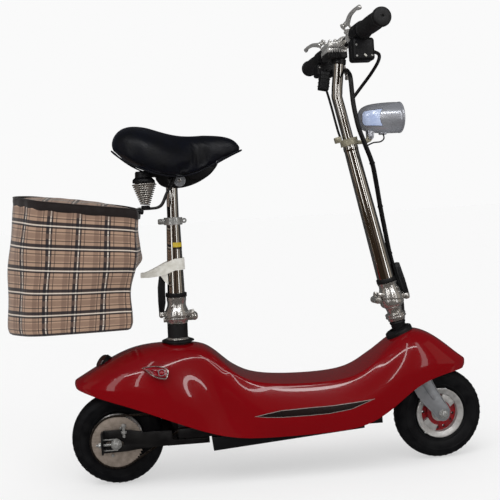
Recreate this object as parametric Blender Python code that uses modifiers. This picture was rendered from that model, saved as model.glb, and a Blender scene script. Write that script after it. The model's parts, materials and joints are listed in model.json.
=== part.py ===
"""Folding electric scooter with a saddle and a cloth bag behind it.

Metres, +Z up, +X forward, +Y to the rider's left. The pieces are placed from the rear axle, in the
straight-ahead pose. The steering group is then turned by STEER_TURN and the whole scooter is moved
back by ORIGIN_X, so that the origin lies on the ground under the middle of its outline.
"""

import math

import bmesh
import bpy
from mathutils import Euler, Matrix, Vector

# Driving dimensions
GAP = 0.0003
ORIGIN_X = 0.2937
WHEELBASE = 0.7087
TYRE_R = 0.100
TYRE_HALF = 0.0235
RIM_R = 0.0550
RIM_HALF = 0.0195
AXLE_R = 0.0050
BORE_R = 0.0056

# Steering axis: its rake, where it meets the ground and how far the wheel is turned to the left
RAKE = math.radians(12.16)
AXIS_FOOT_X = 0.6949
STEER_TURN = math.radians(7.0)

# Height of the front axle: a turned wheel dips a little on a raked axis
FRONT_Z = 0.1002
STEERER_R = 0.0127

# Saddle post: where its axis meets the body top and how far it leans forward
POST_X = 0.1426
POST_Z = 0.300
POST_LEAN = math.radians(1.3)

# Chain drive
CHAIN_Y = -0.044
CHAIN_PITCH = 0.00635
WHEEL_TEETH = 55
MOTOR_TEETH = 11
MOTOR_X = 0.156
MOTOR_Z = 0.141

# Hinges of the two folding castings, seen from the side
COLUMN_HINGE = (0.5820, 0.3605)
COLUMN_LATCH = (0.6510, 0.3640)
POST_HINGE = (0.1810, 0.3530)
POST_LATCH = (0.1106, 0.3585)
HINGE_PIN_R = 0.004
HINGE_HOLE_R = 0.0046

# Handlebar
BAR_X = 0.5360
BAR_Z = 0.9187
BAR_R = 0.0110
BAR_HALF = 0.2550
GRIP_END = 0.2730
LEVER_ANGLE = math.radians(124.0)

# Battery tray, whose floor rises towards the front
TRAY_REAR = 0.204
TRAY_FRONT = 0.528
TRAY_REAR_Z = 0.073
TRAY_FRONT_Z = 0.097
TRAY_TOP = 0.1030
TRAY_HALF = 0.078
TRAY_SLOPE = math.atan2(TRAY_FRONT_Z - TRAY_REAR_Z, TRAY_FRONT - TRAY_REAR)

# Side stand
STAND_PIVOT = Vector((0.085, 0.0700, 0.0840))
STAND_FOOT = Vector((0.045, 0.1220, 0.0080))

# Colour, roughness and metallic value of each finish
FINISHES = {
    "red_body": ((0.52, 0.010, 0.018), 0.18, 0.0),
    "chrome": ((0.72, 0.72, 0.70), 0.12, 1.0),
    "black_plastic": ((0.018, 0.018, 0.020), 0.45, 0.0),
    "black_paint": ((0.015, 0.015, 0.016), 0.35, 0.0),
    "rubber": ((0.022, 0.022, 0.023), 0.75, 0.0),
    "steel": ((0.42, 0.40, 0.37), 0.35, 1.0),
    "zinc": ((0.58, 0.57, 0.55), 0.30, 1.0),
    "cast_alloy": ((0.48, 0.47, 0.46), 0.38, 1.0),
    "vinyl": ((0.020, 0.021, 0.026), 0.42, 0.0),
    "cloth": ((0.58, 0.49, 0.38), 0.90, 0.0),
    "webbing": ((0.82, 0.82, 0.80), 0.80, 0.0),
    "silver_plastic": ((0.55, 0.55, 0.54), 0.30, 0.4),
    "clear": ((0.80, 0.84, 0.86), 0.08, 0.0),
    "red_lens": ((0.45, 0.02, 0.03), 0.15, 0.0),
}

# Scene set-up


def clear_scene():
    for ob in list(bpy.data.objects):
        bpy.data.objects.remove(ob, do_unlink=True)


def new_collection(name):
    collection = bpy.data.collections.new(name)
    bpy.context.scene.collection.children.link(collection)
    return collection


clear_scene()
PARTS = new_collection("electric_scooter")
CUTTERS = new_collection("cutters")

# Shapes


def add(name, data):
    ob = bpy.data.objects.new(name, data)
    PARTS.objects.link(ob)
    return ob


def from_bmesh(name, bm):
    mesh = bpy.data.meshes.new(name)
    bm.to_mesh(mesh)
    bm.free()
    return add(name, mesh)


def block(name, size, at, tilt=0.0):
    bm = bmesh.new()
    bmesh.ops.create_cube(bm, size=1.0)
    bmesh.ops.scale(bm, vec=size, verts=bm.verts)
    ob = from_bmesh(name, bm)
    ob.location = at
    ob.rotation_euler = (0.0, tilt, 0.0)
    return ob


def turn_to(direction):
    """Rotation that brings +Z to a direction."""
    return Vector(direction).to_track_quat("Z", "Y").to_euler()


def rod(name, radius, start, end, sides=12, end_radius=None):
    """Cylinder or cone from one point to another."""
    start, end = Vector(start), Vector(end)
    bm = bmesh.new()
    bmesh.ops.create_cone(
        bm,
        cap_ends=True,
        segments=sides,
        radius1=radius,
        radius2=radius if end_radius is None else end_radius,
        depth=(end - start).length,
    )
    ob = from_bmesh(name, bm)
    ob.location = (start + end) / 2
    ob.rotation_euler = turn_to(end - start)
    return ob


def turned(name, profile, at, direction=(0, 0, 1), steps=16, closed=False):
    """Turned piece: radius and height pairs that run down the outer side."""
    bm = bmesh.new()
    verts = [bm.verts.new((r, 0.0, h)) for r, h in profile]
    for a, b in zip(verts, verts[1:]):
        bm.edges.new((a, b))
    if closed:
        bm.edges.new((verts[-1], verts[0]))
    ob = from_bmesh(name, bm)
    screw = ob.modifiers.new("Screw", "SCREW")
    screw.axis = "Z"
    screw.steps = steps
    screw.render_steps = steps
    screw.use_merge_vertices = True
    screw.merge_threshold = 0.00001
    ob.location = at
    ob.rotation_euler = turn_to(direction)
    return ob


def curve_data(name, dimensions):
    data = bpy.data.curves.new(name, "CURVE")
    data.dimensions = dimensions
    return data


def add_spline(data, points, cyclic):
    spline = data.splines.new("POLY")
    spline.points.add(len(points) - 1)
    for point, place in zip(spline.points, points):
        point.co = (*place, 1.0) if len(place) == 3 else (*place, 0.0, 1.0)
    spline.use_cyclic_u = cyclic


def tube(name, points, radius, resolution=2):
    """Round bar or wire along a list of points."""
    data = curve_data(name, "3D")
    data.bevel_depth = radius
    data.bevel_resolution = resolution
    data.use_fill_caps = True
    add_spline(data, points, False)
    return add(name, data)


def flat(name, outlines, thickness):
    """Flat piece from 2D outlines, the later ones being holes."""
    data = curve_data(name, "2D")
    data.fill_mode = "BOTH"
    data.extrude = thickness / 2
    for outline in outlines:
        add_spline(data, outline, True)
    return add(name, data)


def side_plate(name, outlines, y_from, y_to):
    """Plate seen from the side, its outline in X and Z."""
    ob = flat(name, outlines, abs(y_to - y_from))
    ob.location.y = (y_from + y_to) / 2
    ob.rotation_euler.x = math.pi / 2
    return as_mesh(ob)


def as_mesh(ob):
    """Turns a curve object into a closed mesh object of the same name."""
    bpy.context.view_layer.update()
    mesh = bpy.data.meshes.new_from_object(ob.evaluated_get(bpy.context.evaluated_depsgraph_get()))
    bm = bmesh.new()
    bm.from_mesh(mesh)
    bmesh.ops.remove_doubles(bm, verts=bm.verts, dist=0.00001)
    bmesh.ops.recalc_face_normals(bm, faces=bm.faces)
    bm.to_mesh(mesh)
    bm.free()
    name, place = ob.name, ob.matrix_world.copy()
    bpy.data.objects.remove(ob, do_unlink=True)
    new = add(name, mesh)
    new.matrix_world = place
    return new


def loft(name, rings, closed_path=False):
    """Skin over rings of like point counts, with flat ends unless the path is closed."""
    bm = bmesh.new()
    rows = [[bm.verts.new(p) for p in ring] for ring in rings]
    pairs = list(zip(rows, rows[1:]))
    if closed_path:
        pairs.append((rows[-1], rows[0]))
    else:
        bm.faces.new(rows[0])
        bm.faces.new(rows[-1])
    for low, high in pairs:
        for i in range(len(low)):
            j = (i + 1) % len(low)
            bm.faces.new((low[i], low[j], high[j], high[i]))
    bmesh.ops.recalc_face_normals(bm, faces=bm.faces)
    return from_bmesh(name, bm)


def arc(cx, cy, radius, start, end, count):
    """Points on an arc, angles in degrees."""
    points = []
    for i in range(count):
        angle = math.radians(start + (end - start) * i / (count - 1))
        points.append((cx + radius * math.cos(angle), cy + radius * math.sin(angle)))
    return points


def smooth_path(knots, spacing):
    """Evenly spaced points on a smooth curve through the knots."""
    knots = [Vector(k) for k in knots]
    padded = [2 * knots[0] - knots[1], *knots, 2 * knots[-1] - knots[-2]]
    fine = []
    for i in range(1, len(padded) - 2):
        p0, p1, p2, p3 = padded[i - 1 : i + 3]
        for k in range(20):
            t = k / 20
            fine.append(
                0.5 * (2 * p1 + (p2 - p0) * t + (2 * p0 - 5 * p1 + 4 * p2 - p3) * t**2)
                + 0.5 * (3 * p1 - p0 - 3 * p2 + p3) * t**3
            )
    fine.append(knots[-1])
    total = sum((b - a).length for a, b in zip(fine, fine[1:]))
    count = max(2, round(total / spacing))
    points, walked, target = [fine[0]], 0.0, total / count
    for a, b in zip(fine, fine[1:]):
        step = (b - a).length
        while walked + step >= target and len(points) < count:
            points.append(a.lerp(b, (target - walked) / step))
            target += total / count
        walked += step
    points.append(fine[-1])
    return points


# Joining, cutting and finishing


def set_aside(ob):
    """Makes an object a hidden tool of a Boolean."""
    if ob.name in PARTS.objects:
        PARTS.objects.unlink(ob)
        CUTTERS.objects.link(ob)
    ob.hide_render = True
    ob.display_type = "WIRE"


def boolean(ob, operation, others):
    for other in others:
        modifier = ob.modifiers.new(operation.title(), "BOOLEAN")
        modifier.operation = operation
        modifier.object = other
        set_aside(other)
    return ob


def join(ob, *others):
    return boolean(ob, "UNION", others)


def cut(ob, *others):
    return boolean(ob, "DIFFERENCE", others)


def finish(ob, finish_name):
    """Gives a piece its own material and smooth shading with clear edges."""
    colour, roughness, metallic = FINISHES[finish_name]
    material = bpy.data.materials.new(ob.name)
    material.use_nodes = True
    shader = material.node_tree.nodes["Principled BSDF"]
    shader.inputs["Base Color"].default_value = (*colour, 1.0)
    shader.inputs["Roughness"].default_value = roughness
    shader.inputs["Metallic"].default_value = metallic
    ob.data.materials.clear()
    ob.data.materials.append(material)
    if ob.type == "MESH":
        ob.data.shade_smooth()
        ob.data.set_sharp_from_angle(angle=math.radians(35))
    return ob


def carrier(name, at, rotation=(0.0, 0.0, 0.0)):
    """Empty on a joint's axis."""
    empty = bpy.data.objects.new(name, None)
    empty.empty_display_size = 0.03
    empty.location = at
    empty.rotation_euler = rotation
    PARTS.objects.link(empty)
    bpy.context.view_layer.update()
    return empty


def carry(empty, build):
    """Runs a building function and hangs all it makes on the empty."""
    before = set(bpy.data.objects)
    build()
    bpy.context.view_layer.update()
    for ob in bpy.data.objects:
        if ob not in before and ob.parent is None:
            ob.parent = empty
            ob.matrix_parent_inverse = empty.matrix_world.inverted()


def axis_point(z):
    """Point of the steering axis at a height."""
    return Vector((AXIS_FOOT_X - z * math.tan(RAKE), 0.0, z))


AXIS_UP = Vector((-math.sin(RAKE), 0.0, math.cos(RAKE)))
POST_UP = Vector((math.sin(POST_LEAN), 0.0, math.cos(POST_LEAN)))


def post_point(z):
    """Point of the saddle post's axis at a height."""
    return Vector((POST_X + (z - POST_Z) * math.tan(POST_LEAN), 0.0, z))


def along_column(name, profile, steps=16, closed=False):
    """Turned piece on the steering axis, its heights read straight up."""
    stretched = [(r, (z - 0.3) / math.cos(RAKE)) for r, z in profile]
    return turned(name, stretched, axis_point(0.3), AXIS_UP, steps, closed)


def along_post(name, profile, steps=16, closed=False):
    """Turned piece on the saddle post's axis."""
    moved = [(r, z - POST_Z) for r, z in profile]
    return turned(name, moved, post_point(POST_Z), POST_UP, steps, closed)


# Body shell
# Each station: distance ahead of the rear axle, height of the middle, half width and height of the
# top edge, half width of the side, height and half width of the lower lip, and how far the flute
# draws in the side at its upper and its lower row.
SHELL_STATIONS = (
    (-0.076, 0.2360, 0.025, 0.2320, 0.038, 0.2145, 0.036, 0.000, 0.000),
    (-0.030, 0.2620, 0.044, 0.2530, 0.070, 0.1990, 0.067, 0.000, 0.000),
    (0.040, 0.2985, 0.053, 0.2840, 0.086, 0.1785, 0.083, 0.000, 0.000),
    (0.115, 0.3015, 0.059, 0.2870, 0.092, 0.1470, 0.089, 0.000, 0.000),
    (0.172, 0.2980, 0.062, 0.2835, 0.092, 0.1235, 0.088, 0.007, 0.002),
    (0.206, 0.2890, 0.064, 0.2780, 0.092, 0.1110, 0.087, 0.010, 0.008),
    (0.239, 0.2550, 0.066, 0.2500, 0.092, 0.1020, 0.086, 0.006, 0.010),
    (0.275, 0.2200, 0.067, 0.2180, 0.093, 0.0960, 0.086, 0.001, 0.005),
    (0.335, 0.2020, 0.067, 0.2005, 0.093, 0.0930, 0.085, 0.000, 0.000),
    (0.480, 0.1990, 0.067, 0.1975, 0.092, 0.0943, 0.084, 0.000, 0.000),
    (0.538, 0.2150, 0.066, 0.2130, 0.090, 0.1035, 0.083, 0.000, 0.000),
    (0.590, 0.2600, 0.059, 0.2550, 0.085, 0.1310, 0.080, 0.000, 0.000),
    (0.645, 0.3020, 0.050, 0.2935, 0.076, 0.1760, 0.074, 0.000, 0.000),
    (0.700, 0.2840, 0.041, 0.2740, 0.064, 0.1940, 0.062, 0.000, 0.000),
    (0.758, 0.2300, 0.019, 0.2270, 0.032, 0.1980, 0.030, 0.000, 0.000),
)
TAIL_TIP = ((-0.087, 0.2300), (-0.089, 0.2270), (-0.090, 0.2230), (-0.089, 0.2190), (-0.086, 0.2150))
NOSE_TIP = ((0.781, 0.2140), (0.783, 0.2110), (0.783, 0.2060), (0.781, 0.2020), (0.776, 0.1980))
SHELL_THICKNESS = 0.003
TAIL_LAMP_AT = Vector((-0.0210, 0.0, 0.2640))
TAIL_LAMP_UP = Vector((-0.80, 0.0, 0.60)).normalized()
SIDE_LAMP_AT = (0.092, 0.0830, 0.2500)
SIDE_LAMP_TILT = math.radians(24.0)


def shell_row(station):
    x, z_mid, edge, z_edge, side, z_low, low, flute_high, flute_low = station
    fall = z_edge - z_low
    return (
        (x, 0.0, z_mid),
        (x, 0.55 * edge, z_mid - 0.25 * (z_mid - z_edge)),
        (x, edge, z_edge),
        (x, edge + 0.80 * (side - edge) - flute_high, z_edge - 0.34 * fall),
        (x, side - flute_low, z_edge - 0.66 * fall),
        (x, low, z_low),
    )


def teardrop(length, width, grow=0.0):
    """Outline of a side lamp: a round end in front and a drawn-out tip behind."""
    r = width / 2 + grow
    front = length / 2 - width / 2
    points = arc(front, 0.0, r, -75, 75, 7)
    points += [(-length * 0.10, r * 0.80), (-length / 2 - grow * 1.5, width * 0.12 + grow)]
    points += [(-length / 2 - grow * 1.5, width * 0.12 - 0.003), (-length * 0.12, -r * 0.72)]
    return points


def side_lamp_solid(name, side, grow, inner, outer):
    """Teardrop slab on one side of the body, leaning with its wall."""
    outline = teardrop(0.054, 0.024, grow)
    lamp = as_mesh(flat(name, [outline], outer - inner))
    x, y, z = SIDE_LAMP_AT
    lean = Matrix.Rotation(math.pi / 2 + side * SIDE_LAMP_TILT, 4, "X")
    pitch = Matrix.Rotation(math.radians(-14.0), 4, "Z")
    outward = Vector((0.0, math.cos(SIDE_LAMP_TILT) * side, math.sin(SIDE_LAMP_TILT)))
    centre = Vector((x, y * side, z)) + outward * (inner + outer) / 2
    lamp.matrix_world = Matrix.Translation(centre) @ lean @ pitch
    return lamp


def body_shell():
    bm = bmesh.new()
    rows = [[bm.verts.new(p) for p in shell_row(s)] for s in SHELL_STATIONS]
    for row, tip in ((rows[0], TAIL_TIP), (rows[-1], NOSE_TIP)):
        ends = [bm.verts.new((x, 0.0, z)) for x, z in tip]
        bm.faces.new((row[0], row[1], ends[0]))
        for i in range(1, 5):
            bm.faces.new((row[i], row[i + 1], ends[i], ends[i - 1]))
    for back, front in zip(rows, rows[1:]):
        for i in range(5):
            bm.faces.new((back[i], back[i + 1], front[i + 1], front[i]))
    bmesh.ops.recalc_face_normals(bm, faces=bm.faces)
    top = max(bm.faces, key=lambda f: f.calc_center_median().z)
    if top.normal.z < 0:
        bmesh.ops.reverse_faces(bm, faces=bm.faces)
    crease = bm.edges.layers.float.new("crease_edge")
    for row, ahead in zip(rows[6:11], rows[7:12]):
        bm.edges.get((row[2], ahead[2]))[crease] = 0.6
    shell = from_bmesh("body_shell", bm)
    mirror = shell.modifiers.new("Mirror", "MIRROR")
    mirror.use_axis = (False, True, False)
    mirror.merge_threshold = 0.0001
    smooth = shell.modifiers.new("Subdivision", "SUBSURF")
    smooth.levels = 1
    smooth.render_levels = 1
    solid = shell.modifiers.new("Solidify", "SOLIDIFY")
    solid.thickness = SHELL_THICKNESS
    solid.offset = -1.0
    seat_hole = rod("seat_hole", 0.0282, post_point(0.270), post_point(0.330), 16)
    head_hole = rod("head_hole", 0.0240, axis_point(0.250), axis_point(0.340), 16)
    lamp_from = TAIL_LAMP_AT - 0.030 * TAIL_LAMP_UP
    lamp_to = TAIL_LAMP_AT + 0.040 * TAIL_LAMP_UP
    lamp_hole = rod("tail_lamp_hole", 0.0215, lamp_from, lamp_to, 16)
    side_holes = [side_lamp_solid(f"side_lamp_hole_{s}", s, 0.0005, -0.020, 0.020) for s in (-1, 1)]
    cut(shell, seat_hole, head_hole, lamp_hole, *side_holes)
    finish(shell, "red_body")


def lamps_on_body():
    for name, side in (("right_side_lamp", -1), ("left_side_lamp", 1)):
        finish(side_lamp_solid(name, side, 0.0, -0.010, 0.0035), "red_lens")
    profile = [(0.0, 0.0120), (0.0165, 0.0120), (0.0205, 0.0100), (0.0205, 0.0050), (0.0190, 0.0035)]
    profile += [(0.0205, 0.0020), (0.0205, -0.0220), (0.0, -0.0220)]
    finish(turned("tail_lamp", profile, TAIL_LAMP_AT, TAIL_LAMP_UP, 16), "black_plastic")


def gaskets():
    ring = [(0.0256, 0.3050), (0.0290, 0.3045), (0.0350, 0.3025), (0.0350, 0.3010), (0.0279, 0.3010)]
    ring += [(0.0279, 0.2920), (0.0256, 0.2920)]
    finish(along_post("seat_gasket", ring, 16, True), "rubber")
    sleeve = [(0.0134, 0.3115), (0.0168, 0.3115), (0.0175, 0.3050), (0.0150, 0.2800), (0.0134, 0.2800)]
    gasket = along_column("head_gasket", sleeve, 16, True)
    flange = turned(
        "head_gasket_flange",
        [(0.0150, 0.0045), (0.0300, 0.0040), (0.0345, 0.0015), (0.0345, 0.0), (0.0150, 0.0)],
        (axis_point(0.303).x, 0.0, 0.3012),
        steps=16,
        closed=True,
    )
    finish(join(gasket, flange), "rubber")


# Frame


def main_frame():
    head = rod("main_frame", 0.0180, axis_point(0.2220), axis_point(0.2790), 14)
    down = rod("down_tube", 0.0115, (0.548, 0.0, 0.116), axis_point(0.2620), 8)
    rails = [block(f"rail_{s}", (0.436, 0.018, 0.020), (0.350, s * 0.0660, 0.1145)) for s in (-1, 1)]
    front = block("front_cross", (0.024, 0.146, 0.018), (0.554, 0.0, 0.1145))
    rear = block("rear_cross", (0.016, 0.146, 0.016), (0.2105, 0.0, 0.1140))
    seat = rod("post_sleeve", 0.0260, post_point(0.2060), post_point(0.2880), 14)
    uprights = []
    for s in (-1, 1):
        outline = [(0.136, 0.108), (0.172, 0.108), (0.166, 0.205)]
        outline += [(0.161, 0.262), (0.121, 0.262), (0.119, 0.205)]
        uprights.append(side_plate(f"upright_{s}", [outline], s * 0.0570, s * 0.0610))
    bridge = block("seat_bridge", (0.060, 0.122, 0.004), (0.1430, 0.0, 0.2560))
    frame = join(head, down, front, *rails, rear, *uprights, bridge, seat)
    head_bore = rod("head_bore", 0.0145, axis_point(0.2000), axis_point(0.2950), 12)
    seat_bore = rod("seat_bore", 0.0225, post_point(0.2000), post_point(0.2950), 16)
    cut(frame, head_bore, seat_bore)
    finish(frame, "black_paint")


def dropout_outline():
    """Axle end of the rear fork: rounded behind, running forward as an arm."""
    upper = [(0.118, 0.1190), (0.060, 0.1200), (0.030, 0.1270), (0.012, 0.1290), (-0.0265, 0.1290)]
    lower = [(-0.0265, 0.0810), (0.020, 0.0820), (0.058, 0.0860), (0.118, 0.0880)]
    slot = arc(0.009, 0.100, 0.0062, -90, 90, 5) + arc(-0.016, 0.100, 0.0062, 90, 270, 5)
    return [upper + lower, slot]


def rear_fork():
    arms = [side_plate(f"arm_{s}", dropout_outline(), s * 0.0550, s * 0.0595) for s in (-1, 1)]
    floor = block("motor_floor", (0.090, 0.1190, 0.0030), (0.152, 0.0, 0.0885))
    lips = []
    for s in (-1, 1):
        lip = block(f"adjuster_lip_{s}", (0.0040, 0.0220, 0.0460), (-0.0285, s * 0.0660, 0.1050))
        y = s * 0.0640
        hole = rod(f"adjuster_hole_{s}", 0.0036, (-0.040, y, 0.100), (-0.020, y, 0.100), 10)
        lips.append(cut(lip, hole))
        lips.append(block(f"arm_foot_{s}", (0.090, 0.0045, 0.012), (0.152, s * 0.05725, 0.0930)))
    fork = join(floor, *lips, *arms)
    fork.name = "rear_fork"
    stand_lug = rod("stand_lug", 0.0075, (0.085, 0.0590, 0.0840), (0.085, 0.0615, 0.0840), 12)
    finish(join(fork, stand_lug), "black_paint")


def axle(name, x, z, half, nut_from, extra):
    """Axle with a nut at each end and whatever is clamped under the nuts."""
    shaft = rod(name, AXLE_R, (x, -half, z), (x, half, z), 12)
    nuts = []
    for s in (-1, 1):
        nuts.append(rod(f"{name}_nut_{s}", 0.0095, (x, s * nut_from, z), (x, s * (nut_from + 0.007), z), 6))
    finish(join(shaft, *nuts, *extra), "chrome")


def eye_bolts():
    """Pair that draws the rear axle back: each a ring on the axle, a shank and a nut."""
    pieces = []
    for s in (-1, 1):
        y = s * 0.0640
        eye = rod(f"eye_{s}", 0.0115, (0.0, y - 0.0025, 0.100), (0.0, y + 0.0025, 0.100), 14)
        shank = rod(f"shank_{s}", 0.0028, (-0.0090, y, 0.100), (-0.0420, y, 0.100), 8)
        nut = rod(f"shank_nut_{s}", 0.0062, (-0.0312, y, 0.100), (-0.0370, y, 0.100), 6)
        pieces += [eye, shank, nut]
    return pieces


def tray_place(along, up):
    """Point over the tray's floor: along it from its rear end, and square to it."""
    c, s = math.cos(TRAY_SLOPE), math.sin(TRAY_SLOPE)
    return Vector((TRAY_REAR + along * c - up * s, 0.0, TRAY_REAR_Z + along * s + up * c))


def tray_and_batteries():
    outline = [(TRAY_REAR - 0.003, TRAY_TOP), (TRAY_REAR, TRAY_REAR_Z), (TRAY_FRONT, TRAY_FRONT_Z)]
    tray = side_plate("battery_tray", [outline + [(TRAY_FRONT, TRAY_TOP)]], -TRAY_HALF, TRAY_HALF)
    wall = 0.0025
    inner = [(TRAY_REAR, 0.120), (TRAY_REAR + wall, TRAY_REAR_Z + wall)]
    inner += [(TRAY_FRONT - wall, TRAY_FRONT_Z + wall), (TRAY_FRONT - wall, 0.120)]
    hollow = side_plate("tray_hollow", [inner], wall - TRAY_HALF, TRAY_HALF - wall)
    finish(cut(tray, hollow), "black_plastic")
    long, wide, tall = 0.300, 0.094, 0.065
    pack = block("battery_pack", (long, wide, tall), tray_place(0.170, 0.0028 + tall / 2), -TRAY_SLOPE)
    groove = block("battery_groove", (0.003, 0.2, 0.1), tray_place(0.170, 0.0028 + tall), -TRAY_SLOPE)
    finish(cut(pack, groove), "black_plastic")
    box = block("controller", (0.110, 0.070, 0.028), tray_place(0.095, 0.0031 + tall + 0.014), -TRAY_SLOPE)
    fins = []
    for i in range(6):
        place = tray_place(0.056 + 0.0155 * i, 0.0031 + tall + 0.0295)
        fins.append(block(f"fin_cut_{i}", (0.006, 0.1, 0.01), place, -TRAY_SLOPE))
    finish(cut(box, *fins), "cast_alloy")


# Chain drive


def pitch_radius(teeth):
    return CHAIN_PITCH / (2 * math.sin(math.pi / teeth))


def sprocket(name, teeth, x, z, bore):
    """Toothed plate in the chain's plane."""
    r = pitch_radius(teeth)
    outline = []
    for i in range(teeth):
        for part, radius in ((0.0, r - 0.0016), (0.5, r + 0.0017)):
            angle = 2 * math.pi * (i + part) / teeth
            outline.append((radius * math.cos(angle), radius * math.sin(angle)))
    hole = arc(0.0, 0.0, bore, 0, 330, 12)
    plate = side_plate(name, [outline, hole], CHAIN_Y - 0.0015, CHAIN_Y + 0.0015)
    plate.location = (x, CHAIN_Y, z)
    return plate


def chain():
    """Band of links round both sprockets: two side plates and a web outside the teeth."""
    big, small = pitch_radius(WHEEL_TEETH), pitch_radius(MOTOR_TEETH)
    line = math.atan2(MOTOR_Z - TYRE_R, MOTOR_X)
    open_angle = math.acos((big - small) / math.hypot(MOTOR_X, MOTOR_Z - TYRE_R))
    stops = []
    for i in range(25):
        stops.append((0.0, TYRE_R, big, line + open_angle + (2 * math.pi - 2 * open_angle) * i / 24))
    for i in range(7):
        stops.append((MOTOR_X, MOTOR_Z, small, line - open_angle + 2 * open_angle * i / 6))
    section = ((0.0036, -0.0036), (0.0036, 0.0036), (-0.0024, 0.0036), (-0.0024, 0.0022))
    section += ((0.0024, 0.0022), (0.0024, -0.0022), (-0.0024, -0.0022), (-0.0024, -0.0036))
    rings = []
    for x, z, radius, angle in stops:
        foot = Vector((x, CHAIN_Y, z))
        outward = Vector((math.cos(angle), 0.0, math.sin(angle)))
        rings.append([foot + outward * (radius + n) + Vector((0.0, y, 0.0)) for n, y in section])
    finish(loft("chain", rings, True), "steel")


def motor():
    body = [(0.0, 0.082), (0.036, 0.082), (0.040, 0.078), (0.040, 0.070), (0.043, 0.069), (0.043, 0.010)]
    body += [(0.040, 0.009), (0.040, 0.0), (0.0120, 0.0), (0.0120, -0.0055), (0.0, -0.0055)]
    place = (MOTOR_X, -0.0320, MOTOR_Z)
    case = turned("motor", body, place, (0, 1, 0), 16)
    foot = block("motor_foot", (0.060, 0.060, 0.012), (MOTOR_X, 0.010, 0.0964))
    bores = [rod("shaft_way", 0.0050, (MOTOR_X, -0.050, MOTOR_Z), (MOTOR_X, 0.0, MOTOR_Z), 12)]
    finish(cut(join(case, foot), *bores), "black_paint")


def motor_sprocket():
    pinion = sprocket("motor_sprocket", MOTOR_TEETH, MOTOR_X, MOTOR_Z, 0.0030)
    shaft = rod("motor_shaft", 0.0042, (MOTOR_X, -0.0500, MOTOR_Z), (MOTOR_X, -0.0060, MOTOR_Z), 12)
    finish(join(pinion, shaft), "steel")


# Wheels


def tyre(name, x, z):
    half = [(0.0556, 0.0160), (0.0760, TYRE_HALF), (0.0910, 0.0205), (TYRE_R, 0.0075)]
    inner = [(0.0930, -0.0080), (0.0556, -0.0120)]
    profile = [(r, y) for r, y in half] + [(r, -y) for r, y in reversed(half)]
    profile += [(r, y) for r, y in reversed(inner)] + [(r, -y) for r, y in inner]
    finish(turned(name, profile, (x, 0.0, z), (0, 1, 0), 28, True), "rubber")


def rim(name, x, z, extra):
    """Cast wheel: a barrel, a thin web, a hub and two broad spokes."""
    barrel = [(RIM_R - GAP, RIM_HALF), (RIM_R - GAP, -RIM_HALF), (0.0490, -RIM_HALF), (0.0410, -0.0160)]
    barrel += [(0.0410, 0.0160), (0.0490, RIM_HALF)]
    wheel = turned(name, barrel, (x, 0.0, z), (0, 1, 0), 20, True)
    web = rod(f"{name}_web", 0.0420, (x, -0.0060, z), (x, 0.0060, z), 20)
    hub = rod(f"{name}_hub", 0.0280, (x, -0.0150, z), (x, 0.0150, z), 14)
    boss = rod(f"{name}_boss", 0.0130, (x, -0.0215, z), (x, 0.0215, z), 10)
    spokes = []
    for i, middle in enumerate((50, 230)):
        outline = arc(0.0, 0.0, 0.0440, middle - 24, middle + 24, 6) + [(0.0, 0.0)]
        spoke = side_plate(f"{name}_spoke_{i}", [outline], -0.0130, 0.0130)
        spoke.location = (x, 0.0, z)
        spokes.append(spoke)
    join(wheel, web, *spokes, hub, boss, *extra)
    holes = [rod(f"{name}_bore", BORE_R, (x, -0.060, z), (x, 0.060, z), 12)]
    for angle in (265, 350):
        a = math.radians(angle)
        cx, cz = x + 0.035 * math.cos(a), z + 0.035 * math.sin(a)
        holes.append(rod(f"{name}_hole_{angle}", 0.0035, (cx, -0.030, cz), (cx, 0.030, cz), 8))
    finish(cut(wheel, *holes), "cast_alloy")


def rear_wheel():
    tyre("rear_tyre", 0.0, TYRE_R)
    profile = [(0.0, 0.0400), (0.0330, 0.0400), (0.0350, 0.0380)]
    profile += [(0.0350, 0.0225), (0.0200, 0.0205), (0.0, 0.0100)]
    drum = turned("drum", profile, (0.0, 0.0, TYRE_R), (0, 1, 0), 18)
    mount = rod("sprocket_mount", 0.0240, (0.0, -0.0422, TYRE_R), (0.0, -0.0100, TYRE_R), 14)
    rim("rear_rim", 0.0, TYRE_R, [drum, mount])
    disc = sprocket("rear_sprocket", WHEEL_TEETH, 0.0, TYRE_R, BORE_R)
    bolts = []
    for i in range(4):
        a = math.radians(70 + 90 * i)
        cx, cz = 0.030 * math.cos(a), TYRE_R + 0.030 * math.sin(a)
        bolts.append(rod(f"sprocket_bolt_{i}", 0.0036, (cx, -0.0485, cz), (cx, -0.0430, cz), 6))
    finish(join(disc, *bolts), "steel")


def brake_band():
    """Fixed band round the drum, with its anchor arm."""
    ring = [(0.0362, 0.0365), (0.0392, 0.0365), (0.0392, 0.0235), (0.0362, 0.0235)]
    band = turned("brake_band", ring, (0.0, 0.0, TYRE_R), (0, 1, 0), 16, True)
    arm = block("band_arm", (0.030, 0.0110, 0.010), (0.0500, 0.0300, 0.100))
    plate = block("band_plate", (0.010, 0.0280, 0.024), (0.0600, 0.0405, 0.100))
    finish(join(band, arm, plate), "black_paint")


def front_wheel():
    tyre("front_tyre", WHEELBASE, FRONT_Z)
    rim("front_rim", WHEELBASE, FRONT_Z, [])


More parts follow.
